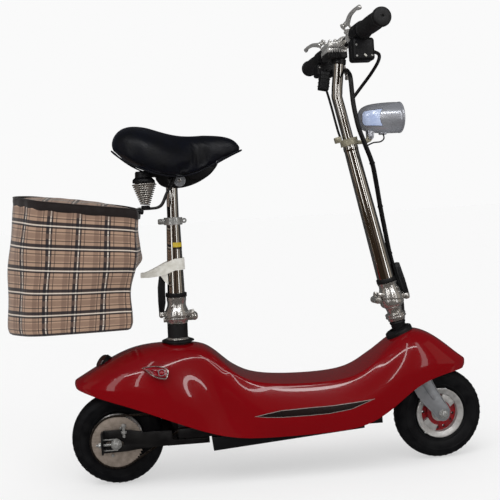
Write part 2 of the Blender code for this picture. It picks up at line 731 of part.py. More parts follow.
def fork():
    """Steerer, crown and two pressed legs with a raised fold."""
    steerer = rod("fork", STEERER_R, axis_point(0.2080), axis_point(0.3115), 16)
    collar = rod("fork_collar", 0.0175, axis_point(0.2080), axis_point(0.2215), 20)
    crown_at = axis_point(0.2100) + Vector((0.004, 0.0, 0.0))
    crown = block("fork_crown", (0.046, 0.0780, 0.006), crown_at, -RAKE)
    pieces = [collar, crown]
    outline = [(0.6290, 0.2065), (0.6450, 0.1620), (0.6600, 0.1350), (0.6800, 0.1110), (0.6930, 0.0950)]
    outline += arc(WHEELBASE, FRONT_Z, 0.0150, 205, 350, 6)
    outline += [(0.7240, 0.1080), (0.7150, 0.1250), (0.7000, 0.1480), (0.6850, 0.1800), (0.6760, 0.2140)]
    slot = arc(WHEELBASE, FRONT_Z, BORE_R, 0, 330, 12)
    fold = [(0.6560, 0.2050), (0.6640, 0.1750), (0.6840, 0.1360)]
    fold += [(0.6900, 0.1380), (0.6740, 0.1800), (0.6680, 0.2100)]
    for s in (-1, 1):
        pieces.append(side_plate(f"leg_{s}", [outline, slot], s * 0.0330, s * 0.0365))
        pieces.append(side_plate(f"fold_{s}", [fold], s * 0.0360, s * 0.0395))
    finish(join(steerer, *pieces), "cast_alloy")


# Column


def hinge_lug(name, place, y_from, y_to, radius=0.0078):
    x, z = place
    return rod(name, radius, (x, y_from, z), (x, y_to, z), 12)


def column_hinge_base():
    body = [(0.0, 0.3800), (0.0265, 0.3800), (0.0265, 0.3500), (0.0180, 0.3420), (0.0160, 0.3290)]
    body += [(0.0225, 0.3280), (0.0225, 0.3190), (0.0190, 0.3180), (0.0190, 0.3125), (0.0, 0.3125)]
    base = along_column("column_hinge_base", body, 16)
    above = block("above_base", (0.2, 0.2, 0.06), (0.62, 0.0, 0.3602 + 0.03))
    cut(base, above)
    x, z = COLUMN_HINGE
    knuckle = hinge_lug("base_knuckle", COLUMN_HINGE, -0.0080, 0.0080)
    web = block("base_web", (0.024, 0.0160, 0.0085), (x + 0.012, 0.0, z - 0.0045))
    pin = rod("base_pin", HINGE_PIN_R, (x, -0.0195, z), (x, 0.0195, z), 12)
    heads = [rod(f"pin_head_{s}", 0.0060, (x, s * 0.0175, z), (x, s * 0.0205, z), 10) for s in (-1, 1)]
    catch = block("base_catch", (0.016, 0.0130, 0.012), (0.6345, 0.0, 0.3535))
    finish(join(base, web, knuckle, pin, *heads, catch), "chrome")


def column_hinge_top():
    body = [(0.0, 0.4045), (0.0213, 0.4045), (0.0213, 0.3945), (0.0203, 0.3935)]
    body += [(0.0203, 0.3850), (0.0265, 0.3670), (0.0265, 0.3450), (0.0, 0.3450)]
    top = along_column("column_hinge_top", body, 16)
    below = block("below_top", (0.2, 0.2, 0.06), (0.62, 0.0, 0.3608 - 0.03))
    cut(top, below)
    x, z = COLUMN_HINGE
    latch_x, latch_z = COLUMN_LATCH
    ears = []
    for s in (-1, 1):
        web_at = (x + 0.0140, s * 0.0126, z + 0.0090)
        latch_at = (latch_x - 0.007, s * 0.0105, latch_z + 0.002)
        ears.append(hinge_lug(f"top_ear_{s}", COLUMN_HINGE, s * 0.0084, s * 0.0168))
        ears.append(block(f"top_web_{s}", (0.030, 0.0084, 0.0095), web_at, 0.25))
        ears.append(block(f"latch_ear_{s}", (0.022, 0.0040, 0.0110), latch_at))
    pin = rod("latch_pin", 0.0024, (latch_x, -0.0125, latch_z), (latch_x, 0.0125, latch_z), 10)
    join(top, *ears, pin)
    hole = rod("top_pin_way", HINGE_HOLE_R, (x, -0.030, z), (x, 0.030, z), 12)
    knuckle_way = rod("top_knuckle_way", 0.0086, (x, -0.0083, z), (x, 0.0083, z), 14)
    finish(cut(top, hole, knuckle_way), "chrome")


def latch(name, place, back, front, hub):
    """Lever with a round hub and a long blade, back and front edges given from the side."""
    outline = arc(place[0], place[1], hub, 180, 360, 7) + front + list(reversed(back))
    if front[0][0] < back[0][0]:
        outline = arc(place[0], place[1], hub, 0, -180, 7) + front + list(reversed(back))
    hole = arc(place[0], place[1], 0.0029, 0, 324, 10)
    lever = side_plate(name, [outline, hole], -0.0080, 0.0080)
    soften = lever.modifiers.new("Bevel", "BEVEL")
    soften.width = 0.0012
    soften.segments = 1
    soften.limit_method = "ANGLE"
    soften.angle_limit = math.radians(60)
    return finish(lever, "black_plastic")


def column_latch():
    back = [(0.6448, 0.3680), (0.6350, 0.4040), (0.6270, 0.4380)]
    front = [(0.6575, 0.3680), (0.6500, 0.4000), (0.6380, 0.4400)]
    latch("column_latch", COLUMN_LATCH, back, front, 0.0065)


def column_tube():
    profile = [(0.0128, 0.7160), (0.0155, 0.7160), (0.0157, 0.7000), (0.0165, 0.6990), (0.0165, 0.6920)]
    profile += [(0.0157, 0.6910), (0.0193, 0.4048), (0.0128, 0.4048)]
    finish(along_column("column_tube", profile, 16, True), "chrome")


def height_clamp():
    """Band round the top of the column tube, with its pinch lugs and the arm that holds the headlight."""
    profile = [(0.0161, 0.7170), (0.0200, 0.7170), (0.0200, 0.7025), (0.0161, 0.7025)]
    band = along_column("height_clamp", profile, 16, True)
    centre = axis_point(0.7100)
    lug = block("clamp_lug", (0.014, 0.0150, 0.0130), centre + Vector((-0.0248, 0.0, 0.0050)), -RAKE)
    bolt_at = centre + Vector((-0.0260, 0.0, 0.0050))
    bolt = rod("clamp_bolt", 0.0028, bolt_at - Vector((0, 0.0120, 0)), bolt_at + Vector((0, 0.0120, 0)), 8)
    arm = [(0.5598, 0.7040), (0.582, 0.7050), (0.594, 0.7120), (0.596, 0.7190)]
    arm += [(0.584, 0.7190), (0.578, 0.7125), (0.5598, 0.7125)]
    arm_plate = side_plate("lamp_arm", [arm], -0.0060, 0.0060)
    pivot = rod("lamp_pivot", 0.0060, (0.590, -0.0060, 0.7190), (0.590, 0.0060, 0.7190), 10)
    pin = rod("lamp_pin", 0.0022, (0.590, -0.0115, 0.7190), (0.590, 0.0115, 0.7190), 10)
    slit = block("clamp_slit", (0.020, 0.0020, 0.030), centre + Vector((-0.0280, 0.0, 0.0050)), -RAKE)
    finish(join(cut(join(band, lug), slit), arm_plate, pivot, pin, bolt), "chrome")


def headlight():
    """Bullet housing with two ears under it, and the lens in its mouth."""
    body = [(0.0, 0.0), (0.0140, 0.0015), (0.0250, 0.0100), (0.0310, 0.0280), (0.0340, 0.0650)]
    body += [(0.0340, 0.0950), (0.0315, 0.0950), (0.0310, 0.0900), (0.0, 0.0900)]
    place = Vector((0.5660, 0.0, 0.7590))
    housing = turned("headlight_housing", body[::-1], place, (1, 0, 0), 18)
    ears = []
    for s in (-1, 1):
        outline = [(0.584, 0.7150), (0.590, 0.7125), (0.596, 0.7150), (0.600, 0.7400), (0.584, 0.7400)]
        ears.append(side_plate(f"lamp_ear_{s}", [outline], s * 0.0065, s * 0.0100))
    join(housing, *ears)
    pin_way = rod("lamp_pin_way", 0.0028, (0.590, -0.020, 0.7190), (0.590, 0.020, 0.7190), 10)
    finish(cut(housing, pin_way), "silver_plastic")
    lens = [(0.0, 0.0990), (0.0200, 0.0980), (0.0309, 0.0945), (0.0306, 0.0904), (0.0, 0.0904)]
    finish(turned("headlight_lens", lens, place, (1, 0, 0), 18), "clear")


# Handlebar


def inner_column():
    knots = [axis_point(z) for z in (0.6200, 0.7000, 0.7600, 0.8080)]
    knots += [(0.5225, 0.0, 0.8250), (0.5245, 0.0, 0.8450), (0.5300, 0.0, 0.8867)]
    post = as_mesh(tube("inner_column", [Vector(k) for k in knots], 0.0120, 4))
    finish(post, "chrome")


def stem_and_bar():
    stem = block("stem_clamp", (0.0440, 0.0480, 0.0222), (0.5210, 0.0, 0.8999))
    tip = rod("stem_lever", 0.0035, (0.5440, 0.0180, 0.8880), (0.5540, 0.0240, 0.8520), 8)
    lobe = rod("stem_lobe", 0.0060, (0.5360, 0.0160, 0.8910), (0.5470, 0.0160, 0.8870), 10)
    groove = rod("bar_groove", BAR_R + 0.0004, (BAR_X, -0.05, BAR_Z), (BAR_X, 0.05, BAR_Z), 16)
    finish(cut(join(stem, lobe, tip), groove), "black_paint")
    ring = [(0.0085, BAR_HALF), (BAR_R, BAR_HALF), (BAR_R, -BAR_HALF), (0.0085, -BAR_HALF)]
    bar = turned("handlebar", ring, (BAR_X, 0.0, BAR_Z), (0, 1, 0), 16, True)
    cap = rod("bar_cap", 0.0155, (BAR_X, -0.0280, BAR_Z), (BAR_X, 0.0280, BAR_Z), 16)
    plate = block("cap_plate", (0.0330, 0.0500, 0.0120), (0.5170, 0.0, 0.9190), -0.10)
    bolts = []
    for s in (-1, 1):
        y = s * 0.0130
        bolts.append(rod(f"cap_bolt_{s}", 0.0042, (0.5080, y, 0.9200), (0.5080, y, 0.9290), 6))
    under = block("under_cap", (0.09, 0.0600, 0.03), (0.5290, 0.0, 0.9114 - 0.015))
    core = rod("cap_core", BAR_R - 0.0010, (BAR_X, -0.04, BAR_Z), (BAR_X, 0.04, BAR_Z), 16)
    cap = cut(join(cap, plate, *bolts), under, core)
    finish(join(bar, cap), "chrome")


def grip(name, side, start, end):
    """Rubber grip with a flanged end and raised bands, closed at its outer end."""
    r = 0.0160
    profile = [(0.0, end), (0.0165, end), (0.0190, end - 0.003), (0.0190, end - 0.009), (r, end - 0.011)]
    profile += [(r + 0.0010, (start + end) / 2), (r, start + 0.004), (0.0175, start)]
    profile += [(0.0115, start), (0.0115, BAR_HALF + 0.001), (0.0, BAR_HALF + 0.001)]
    return finish(turned(name, profile, (BAR_X, 0.0, BAR_Z), (0, side, 0), 14), "rubber")


def bar_ring(name, side, y_from, y_to, outer):
    """Ring clamped on the bar."""
    profile = [(BAR_R + 0.0004, y_to), (outer, y_to), (outer, y_from), (BAR_R + 0.0004, y_from)]
    return turned(name, profile, (BAR_X, 0.0, BAR_Z), (0, side, 0), 16, True)


def housings():
    """Switch boxes that hang under the bar beside each grip."""
    for name, side, deep in (("throttle_housing", -1, 0.046), ("left_switch_housing", 1, 0.030)):
        ring = bar_ring(name, side, 0.1180, 0.1560, 0.0195)
        box_at = (BAR_X, side * 0.1370, BAR_Z - 0.0140 - deep / 2)
        box = block(f"{name}_box", (0.0460, 0.0370, deep), box_at)
        soften = box.modifiers.new("Bevel", "BEVEL")
        soften.width = 0.0070
        soften.segments = 2
        way_from, way_to = (BAR_X, side * 0.10, BAR_Z), (BAR_X, side * 0.17, BAR_Z)
        way = rod(f"{name}_way", BAR_R + 0.0004, way_from, way_to, 16)
        pocket_at = Vector((BAR_X + 0.0230, side * 0.1370, BAR_Z - 0.0270))
        deep_by = Vector((0.006, 0.0, 0.0))
        pocket = rod(f"{name}_pocket", 0.0064, pocket_at - deep_by, pocket_at + deep_by, 12)
        join(ring, box)
        cut(ring, way)
        if side < 0:
            cut(ring, pocket)
        else:
            set_aside(pocket)
        finish(ring, "black_plastic")


def switch_button():
    at = Vector((BAR_X + 0.0230, -0.1370, BAR_Z - 0.0270))
    profile = [(0.0, 0.0030), (0.0045, 0.0028), (0.0058, 0.0015), (0.0058, -0.0020), (0.0, -0.0020)]
    finish(turned("switch_button", profile, at, (1, 0, 0), 16), "black_plastic")


LEVER_UP = Vector((math.cos(LEVER_ANGLE), 0.0, math.sin(LEVER_ANGLE)))
LEVER_AXIS = Vector((math.sin(LEVER_ANGLE), 0.0, -math.cos(LEVER_ANGLE)))


def lever_pivot(side):
    return Vector((BAR_X, side * 0.0920, BAR_Z)) + LEVER_UP * 0.0300


def brake_perches():
    """Clamp ring with an arm, a fork for the lever's pin and the cable barrel."""
    for name, side in (("right_brake_perch", -1), ("left_brake_perch", 1)):
        ring = bar_ring(name, side, 0.0850, 0.1010, 0.0160)
        pivot = lever_pivot(side)
        foot = Vector((BAR_X, side * 0.0920, BAR_Z)) + LEVER_UP * 0.0130
        arm = rod(f"{name}_arm", 0.0080, foot, foot + LEVER_UP * 0.0055, 8)
        fork_parts = []
        for k in (-1, 1):
            shift, half = LEVER_AXIS * k * 0.0066, LEVER_AXIS * 0.0018
            deck = rod(f"{name}_deck_{k}", 0.0065, pivot + shift - half, pivot + shift + half, 8)
            fork_parts.append(deck)
            fork_parts.append(rod(f"{name}_cheek_{k}", 0.0023, foot + shift, pivot + shift, 6))
        pin = rod(f"{name}_pin", 0.0018, pivot - LEVER_AXIS * 0.0085, pivot + LEVER_AXIS * 0.0085, 8)
        start = foot + Vector((0, -side * 0.0040, 0)) + LEVER_UP * 0.0040
        barrel = rod(f"{name}_barrel", 0.0038, start, start + Vector((0, -side * 0.0200, 0)), 8)
        finish(join(ring, arm, *fork_parts, pin, barrel), "chrome")


def brake_lever(name, side):
    """Flat curved blade that runs out along the grip."""
    pivot = lever_pivot(side)
    outline = arc(0.0, 0.0, 0.0055, 120, 240, 5)
    outline += [(0.020, -0.0040), (0.055, 0.0055), (0.095, 0.0085)]
    outline += arc(0.1130, 0.0100, 0.0050, -80, 90, 5)
    outline += [(0.090, 0.0155), (0.050, 0.0130), (0.018, 0.0062)]
    hole = arc(0.0, 0.0, 0.0023, 0, 324, 10)
    blade = as_mesh(flat(name, [outline, hole], 0.0075))
    along = Vector((0.0, side, 0.0))
    third = along.cross(LEVER_UP)
    basis = Matrix((along, LEVER_UP, third)).transposed().to_4x4()
    blade.matrix_world = Matrix.Translation(pivot) @ basis
    finish(blade, "chrome")


def connector_box():
    box = block("connector_box", (0.0220, 0.0180, 0.0420), (0.4990, 0.0180, 0.8470), 0.18)
    soften = box.modifiers.new("Bevel", "BEVEL")
    soften.width = 0.0030
    soften.segments = 1
    finish(box, "black_plastic")


# Cable route: the bundle from the left switch box down the front of the column into the body,
# with a branch from the throttle and one from the connector box.
HARNESS_KNOTS = (
    (0.5500, 0.1140, 0.8850),
    (0.5620, 0.0800, 0.8750),
    (0.5670, 0.0350, 0.8720),
    (0.5650, -0.0020, 0.8560),
    (0.5650, -0.0130, 0.8260),
    (0.5630, -0.0160, 0.7950),
    (0.5610, -0.0200, 0.7650),
    (0.5640, -0.0250, 0.7350),
    (0.5720, -0.0260, 0.7000),
    (0.5850, -0.0200, 0.6600),
    (0.5960, -0.0080, 0.6150),
    (0.6060, 0.0040, 0.5650),
    (0.6160, 0.0120, 0.5150),
    (0.6270, 0.0200, 0.4600),
    (0.6410, 0.0270, 0.4050),
    (0.6510, 0.0280, 0.3500),
    (0.6500, 0.0250, 0.3062),
)
THROTTLE_BRANCH = (
    (0.5635, -0.1370, 0.8790),
    (0.5780, -0.1280, 0.8740),
    (0.5870, -0.0980, 0.8640),
    (0.5860, -0.0600, 0.8460),
    (0.5760, -0.0260, 0.8250),
    (0.5640, -0.0150, 0.8020),
)
BOX_BRANCH = (
    (0.5030, 0.0180, 0.8232),
    (0.5110, 0.0200, 0.8060),
    (0.5190, 0.0220, 0.7850),
    (0.5330, 0.0210, 0.7600),
    (0.5480, 0.0080, 0.7450),
    (0.5590, -0.0120, 0.7420),
    (0.5635, -0.0240, 0.7360),
)
LAMP_BRANCH = (
    (0.6170, -0.0100, 0.7235),
    (0.6180, -0.0120, 0.7130),
    (0.6080, -0.0160, 0.7060),
    (0.5900, -0.0220, 0.7040),
    (0.5740, -0.0260, 0.6980),
)


def cable_harness():
    main = as_mesh(tube("cable_harness", smooth_path(HARNESS_KNOTS, 0.021), 0.0052, 2))
    branches = [
        as_mesh(tube("throttle_branch", smooth_path(THROTTLE_BRANCH, 0.015), 0.0036, 2)),
        as_mesh(tube("box_branch", smooth_path(BOX_BRANCH, 0.015), 0.0026, 2)),
        as_mesh(tube("lamp_branch", smooth_path(LAMP_BRANCH, 0.010), 0.0016, 2)),
    ]
    finish(join(main, *branches), "rubber")


# Saddle post


def seat_socket():
    ring = [(0.0165, 0.3395), (0.0220, 0.3395), (0.0220, 0.3080), (0.0250, 0.3070), (0.0250, 0.2970)]
    ring += [(0.0220, 0.2960), (0.0220, 0.2320), (0.0165, 0.2320)]
    finish(along_post("seat_socket", ring, 16, True), "black_paint")


def seat_hinge_base():
    body = [(0.0, 0.3528), (0.0270, 0.3528), (0.0270, 0.3490), (0.0235, 0.3450), (0.0225, 0.3398)]
    body += [(0.0160, 0.3398), (0.0160, 0.3000), (0.0, 0.3000)]
    base = along_post("seat_hinge_base", body, 16)
    x, z = POST_HINGE
    knuckle = hinge_lug("seat_knuckle", POST_HINGE, -0.0080, 0.0080)
    web = block("seat_web", (0.022, 0.0160, 0.0080), (x - 0.0110, 0.0, z - 0.0045))
    pin = rod("seat_pin", HINGE_PIN_R, (x, -0.0195, z), (x, 0.0195, z), 12)
    heads = [rod(f"seat_pin_head_{s}", 0.0060, (x, s * 0.0175, z), (x, s * 0.0205, z), 10) for s in (-1, 1)]
    catch = block("seat_catch", (0.014, 0.0130, 0.009), (0.1210, 0.0, 0.3475))
    finish(join(base, web, knuckle, pin, *heads, catch), "chrome")


def seat_hinge_top():
    body = [(0.0, 0.3970), (0.0212, 0.3970), (0.0212, 0.3880), (0.0203, 0.3870)]
    body += [(0.0203, 0.3780), (0.0270, 0.3600), (0.0270, 0.3534), (0.0, 0.3534)]
    top = along_post("seat_hinge_top", body, 16)
    x, z = POST_HINGE
    latch_x, latch_z = POST_LATCH
    ears = []
    for s in (-1, 1):
        web_at = (x - 0.0130, s * 0.0126, z + 0.0065)
        latch_at = (latch_x + 0.008, s * 0.0105, latch_z + 0.002)
        ears.append(hinge_lug(f"seat_ear_{s}", POST_HINGE, s * 0.0084, s * 0.0168))
        ears.append(block(f"seat_ear_web_{s}", (0.028, 0.0084, 0.0095), web_at, -0.15))
        ears.append(block(f"seat_latch_ear_{s}", (0.022, 0.0040, 0.0110), latch_at))
    pin = rod("seat_latch_pin", 0.0024, (latch_x, -0.0125, latch_z), (latch_x, 0.0125, latch_z), 10)
    join(top, *ears, pin)
    hole = rod("seat_pin_way", HINGE_HOLE_R, (x, -0.030, z), (x, 0.030, z), 12)
    knuckle_way = rod("seat_knuckle_way", 0.0086, (x, -0.0083, z), (x, 0.0083, z), 14)
    finish(cut(top, hole, knuckle_way), "chrome")


def seat_latch():
    back = [(0.1160, 0.3625), (0.1210, 0.3850), (0.1215, 0.4100), (0.1235, 0.4460)]
    front = [(0.1055, 0.3625), (0.1050, 0.3900), (0.1060, 0.4200), (0.1110, 0.4480)]
    latch("seat_latch", POST_LATCH, back, front, 0.0055)


def seat_tube():
    profile = [(0.0131, 0.5680), (0.0150, 0.5680), (0.0150, 0.5500), (0.0190, 0.3973), (0.0131, 0.3973)]
    finish(along_post("seat_tube", profile, 16, True), "chrome")
    collar = [(0.0154, 0.5690), (0.0200, 0.5680), (0.0200, 0.5540), (0.0154, 0.5530)]
    clamp = along_post("seat_clamp", collar, 16, True)
    centre = post_point(0.5610)
    lug = block("seat_clamp_lug", (0.016, 0.0150, 0.0130), centre + Vector((-0.0250, 0.0, 0.0)))
    nub = block("seat_clamp_nub", (0.010, 0.0100, 0.0100), centre + Vector((0.0220, 0.0, 0.0)))
    slit = block("seat_clamp_slit", (0.024, 0.0020, 0.030), centre + Vector((-0.0270, 0.0, 0.0)))
    finish(cut(join(clamp, lug, nub), slit), "zinc")


def seat_post():
    """Inner post with the clamp head that carries the saddle."""
    profile = [(0.0, 0.6420), (0.0126, 0.6420), (0.0126, 0.4300), (0.0, 0.4300)]
    post = along_post("seat_post", profile, 16)
    head = block("post_head", (0.0380, 0.0300, 0.0240), (0.1590, 0.0, 0.6440))
    bolt = rod("post_bolt", 0.0045, (0.1680, -0.0202, 0.6470), (0.1680, 0.0202, 0.6470), 8)
    washers = []
    for s in (-1, 1):
        inside, outside = (0.1680, s * 0.0140, 0.6470), (0.1680, s * 0.0200, 0.6470)
        washers.append(rod(f"post_washer_{s}", 0.0130, inside, outside, 12))
    bore = rod("post_bore", 0.0106, post_point(0.4200), post_point(0.6250), 12)
    finish(cut(join(post, head, bolt, *washers), bore), "chrome")


# Saddle stations: distance, top height, lower edge height and half width
SADDLE_STATIONS = (
    (0.0310, 0.7420, 0.7130, 0.062),
    (0.0420, 0.7620, 0.7020, 0.084),
    (0.0650, 0.7720, 0.6850, 0.099),
    (0.0950, 0.7680, 0.6700, 0.102),
    (0.1300, 0.7540, 0.6580, 0.092),
    (0.1650, 0.7430, 0.6530, 0.070),
    (0.2000, 0.7400, 0.6580, 0.048),
    (0.2350, 0.7420, 0.6720, 0.036),
    (0.2680, 0.7420, 0.6880, 0.032),
    (0.2930, 0.7340, 0.6990, 0.027),
    (0.3040, 0.7180, 0.7030, 0.016),
)
SADDLE_UNDER = 0.6750


def saddle_cover():
    """Padded cover: crowned on top, drawn in at its sides, hollow underneath."""
    bm = bmesh.new()
    rows = []
    for x, top, low, half in SADDLE_STATIONS:
        under = max(SADDLE_UNDER, low + 0.006)
        tall = top - low
        row = ((x, 0.0, top), (x, 0.50 * half, top - 0.04 * tall), (x, 0.88 * half, top - 0.20 * tall))
        row += ((x, half, top - 0.52 * tall), (x, 0.93 * half, low), (x, 0.80 * half, low + 0.001))
        row += ((x, 0.62 * half, under), (x, 0.0, under))
        rows.append([bm.verts.new(p) for p in row])
    for back, front in zip(rows, rows[1:]):
        for i in range(7):
            bm.faces.new((back[i], back[i + 1], front[i + 1], front[i]))
    for row in (rows[0], rows[-1]):
        bm.faces.new((row[0], row[1], row[6], row[7]))
        bm.faces.new((row[1], row[2], row[5], row[6]))
        bm.faces.new((row[2], row[3], row[4], row[5]))
    bmesh.ops.recalc_face_normals(bm, faces=bm.faces)
    cover = from_bmesh("saddle_cover", bm)
    mirror = cover.modifiers.new("Mirror", "MIRROR")
    mirror.use_axis = (False, True, False)
    mirror.merge_threshold = 0.0001
    smooth = cover.modifiers.new("Subdivision", "SUBSURF")
    smooth.levels = 1
    smooth.render_levels = 1
    finish(cover, "vinyl")


SPRING_X = 0.0915
SPRING_Y = 0.042
SPRING_TOP = 0.6452
SPRING_LOW = 0.5985


def saddle_base():
    """Pan under the cover, with the two spring cups and the slot for the post head."""
    outline = [(0.084, 0.6720), (0.092, 0.6580), (0.118, 0.6580), (0.136, 0.6600), (0.186, 0.6600)]
    outline += [(0.190, 0.6440), (0.214, 0.6480), (0.238, 0.6640), (0.246, 0.6720)]
    pan = side_plate("saddle_base", [outline], -0.0260, 0.0260)
    bar = block("spring_bar", (0.030, 0.1000, 0.0100), (SPRING_X, 0.0, 0.6650))
    cups = []
    for s in (-1, 1):
        low, high = (SPRING_X, s * SPRING_Y, 0.6455), (SPRING_X, s * SPRING_Y, 0.6690)
        cups.append(rod(f"spring_cup_{s}", 0.0215, low, high, 16, 0.0180))
    finish(join(pan, bar, *cups), "black_plastic")


def spring_radius(part):
    """Cone radius from the tip (0) to the top (1)."""
    return 0.0075 + 0.0160 * part


def saddle_spring(name, side):
    """Unbroken conical coil, wide at the top, with a straight end at each side."""
    turns, per_turn, wire = 9, 8, 0.0013
    points = []
    for i in range(turns * per_turn + 1):
        part = i / (turns * per_turn)
        angle = 2 * math.pi * i / per_turn
        r = spring_radius(part)
        z = SPRING_LOW + wire + (SPRING_TOP - SPRING_LOW - 2 * wire) * part
        points.append(Vector((SPRING_X + r * math.cos(angle), side * SPRING_Y + r * math.sin(angle), z)))
    first = (points[0] - points[1]).normalized() * 2 * wire
    last = (points[-1] - points[-2]).normalized() * 2 * wire
    start = points[0] + Vector((first.x, first.y, 0.0))
    end = points[-1] + Vector((last.x, last.y, 0.0))
    points = [start, *points, end]
    least = min((a - b).length for i, a in enumerate(points) for b in points[i + per_turn // 2 :])
    print(name, "least gap between turns, mm:", round((least - 2 * wire) * 1000, 2))
    finish(as_mesh(tube(name, points, wire, 1)), "chrome")


def saddle_rods():
    """One bent wire: from the clamp down to a spring, across, and back up on the other side."""
    half = [(0.1850, 0.0235, 0.6520), (0.1680, 0.0235, 0.6470), (0.1500, 0.0245, 0.6390)]
    half += [(0.1380, 0.0290, 0.6200), (0.1280, 0.0340, 0.6000), (0.1180, 0.0380, 0.5925)]
    half += [(0.1040, 0.0415, 0.5910), (0.0915, 0.0420, 0.5910), (0.0830, 0.0400, 0.5910)]
    half += [(0.0790, 0.0320, 0.5910)]
    points = half + [(x, -y, z) for x, y, z in reversed(half)]
    wire = as_mesh(tube("saddle_rods", points, 0.0029, 2))
    seats = []
    for s in (-1, 1):
        low, high = (SPRING_X, s * SPRING_Y, 0.5900), (SPRING_X, s * SPRING_Y, 0.5982)
        seats.append(rod(f"spring_seat_{s}", 0.0100, low, high, 10))
    finish(join(wire, *seats), "black_paint")


# Bag corners seen from above, at the top edge: distance, side and height
BAG_TOP = (
    (0.0770, -0.0640, 0.5850),
    (0.0560, -0.0800, 0.5900),
    (-0.0300, -0.0860, 0.6020),
    (-0.1180, -0.0820, 0.6150),
    (-0.1560, -0.0560, 0.6230),
    (-0.1840, -0.0160, 0.6280),
    (-0.1800, 0.0300, 0.6300),
    (-0.1500, 0.0680, 0.6280),
    (-0.0900, 0.0860, 0.6180),
    (0.0300, 0.0820, 0.5980),
    (0.0700, 0.0560, 0.5880),
)
# Height share of each level and how far it is drawn out along and across
BAG_LEVELS = (
    (0.000, 0.94, 0.86),
    (0.030, 1.04, 0.97),
    (0.400, 1.03, 1.05),
    (0.900, 1.00, 1.01),
    (1.000, 1.00, 1.00),
)
BAG_FLOOR = 0.3400
BAG_MIDDLE = Vector((-0.0550, 0.0, 0.0))
BAG_LOW_SHIFT = -0.0330


def bag():
    """Zipped cloth bag: a plain closed solid of its outer shape."""
    rings = []
    for up, grow_x, grow_y in BAG_LEVELS:
        ring = []
        for x, y, z in BAG_TOP:
            shift = BAG_LOW_SHIFT * (1 - up)
            place_x = BAG_MIDDLE.x + (x - BAG_MIDDLE.x) * grow_x + shift * (0.8 if x > 0 else 1.0)
            ring.append((place_x, y * grow_y, BAG_FLOOR + (z - BAG_FLOOR) * up))
        rings.append(ring)
    finish(loft("bag", rings), "cloth")


def bag_strap():
    """White webbing from the bag round the front of the post."""
    half, thick, z = 0.0212, 0.0018, 0.4660
    cx = post_point(z).x
    outer = [(0.0820, half), (cx, half)] + arc(cx, 0.0, half, 80, -80, 9) + [(cx, -half), (0.0820, -half)]
    inner_half = half - thick
    inner = [(0.0820, -inner_half), (cx, -inner_half)] + arc(cx, 0.0, inner_half, -80, 80, 9)
    inner += [(cx, inner_half), (0.0820, inner_half)]
    strap = as_mesh(flat("bag_strap", [outer + inner], 0.0260))
    strap.location.z = z
    finish(strap, "webbing")


# Side stand


def kickstand():
    """Leg from its pivot out to a flat foot on the ground."""
    leg = rod("kickstand", 0.0055, STAND_PIVOT, STAND_FOOT, 12)
    half_eye = Vector((0.0, 0.0080, 0.0))
    eye = rod("stand_eye", 0.0085, STAND_PIVOT - half_eye, STAND_PIVOT + half_eye, 14)
    x, y = STAND_FOOT.x, STAND_FOOT.y
    foot = rod("stand_foot", 0.0130, (x, y, 0.0), (x, y, 0.0100), 16)
    finish(join(leg, eye, foot), "black_paint")


# Assembly


def chassis():
    body_shell()
    lamps_on_body()
    gaskets()
    main_frame()
    rear_fork()
    axle("rear_axle", 0.0, TYRE_R, 0.0800, 0.0660, eye_bolts())
    tray_and_batteries()
    chain()
    motor()
    brake_band()
    seat_socket()
    seat_hinge_base()


def steered():
    fork()
    axle("front_axle", WHEELBASE, FRONT_Z, 0.0470, 0.0368, [])
    column_hinge_base()


def folding_column():
    column_hinge_top()
    column_tube()
    height_clamp()
    cable_harness()


def sliding_bar():
    inner_column()
    stem_and_bar()
    grip("left_grip", 1, 0.1600, GRIP_END)
    housings()
    brake_perches()
    connector_box()


def folding_post():
    seat_hinge_top()
    seat_tube()


def sliding_post():
    seat_post()
    saddle_cover()
    saddle_base()
    saddle_spring("right_spring", -1)
    saddle_spring("left_spring", 1)
    saddle_rods()
    bag()
    bag_strap()


def hang(child, parent):
    child.parent = parent
    child.matrix_parent_inverse = parent.matrix_world.inverted()
    bpy.context.view_layer.update()


def side_place(pair):
    return (pair[0], 0.0, pair[1])


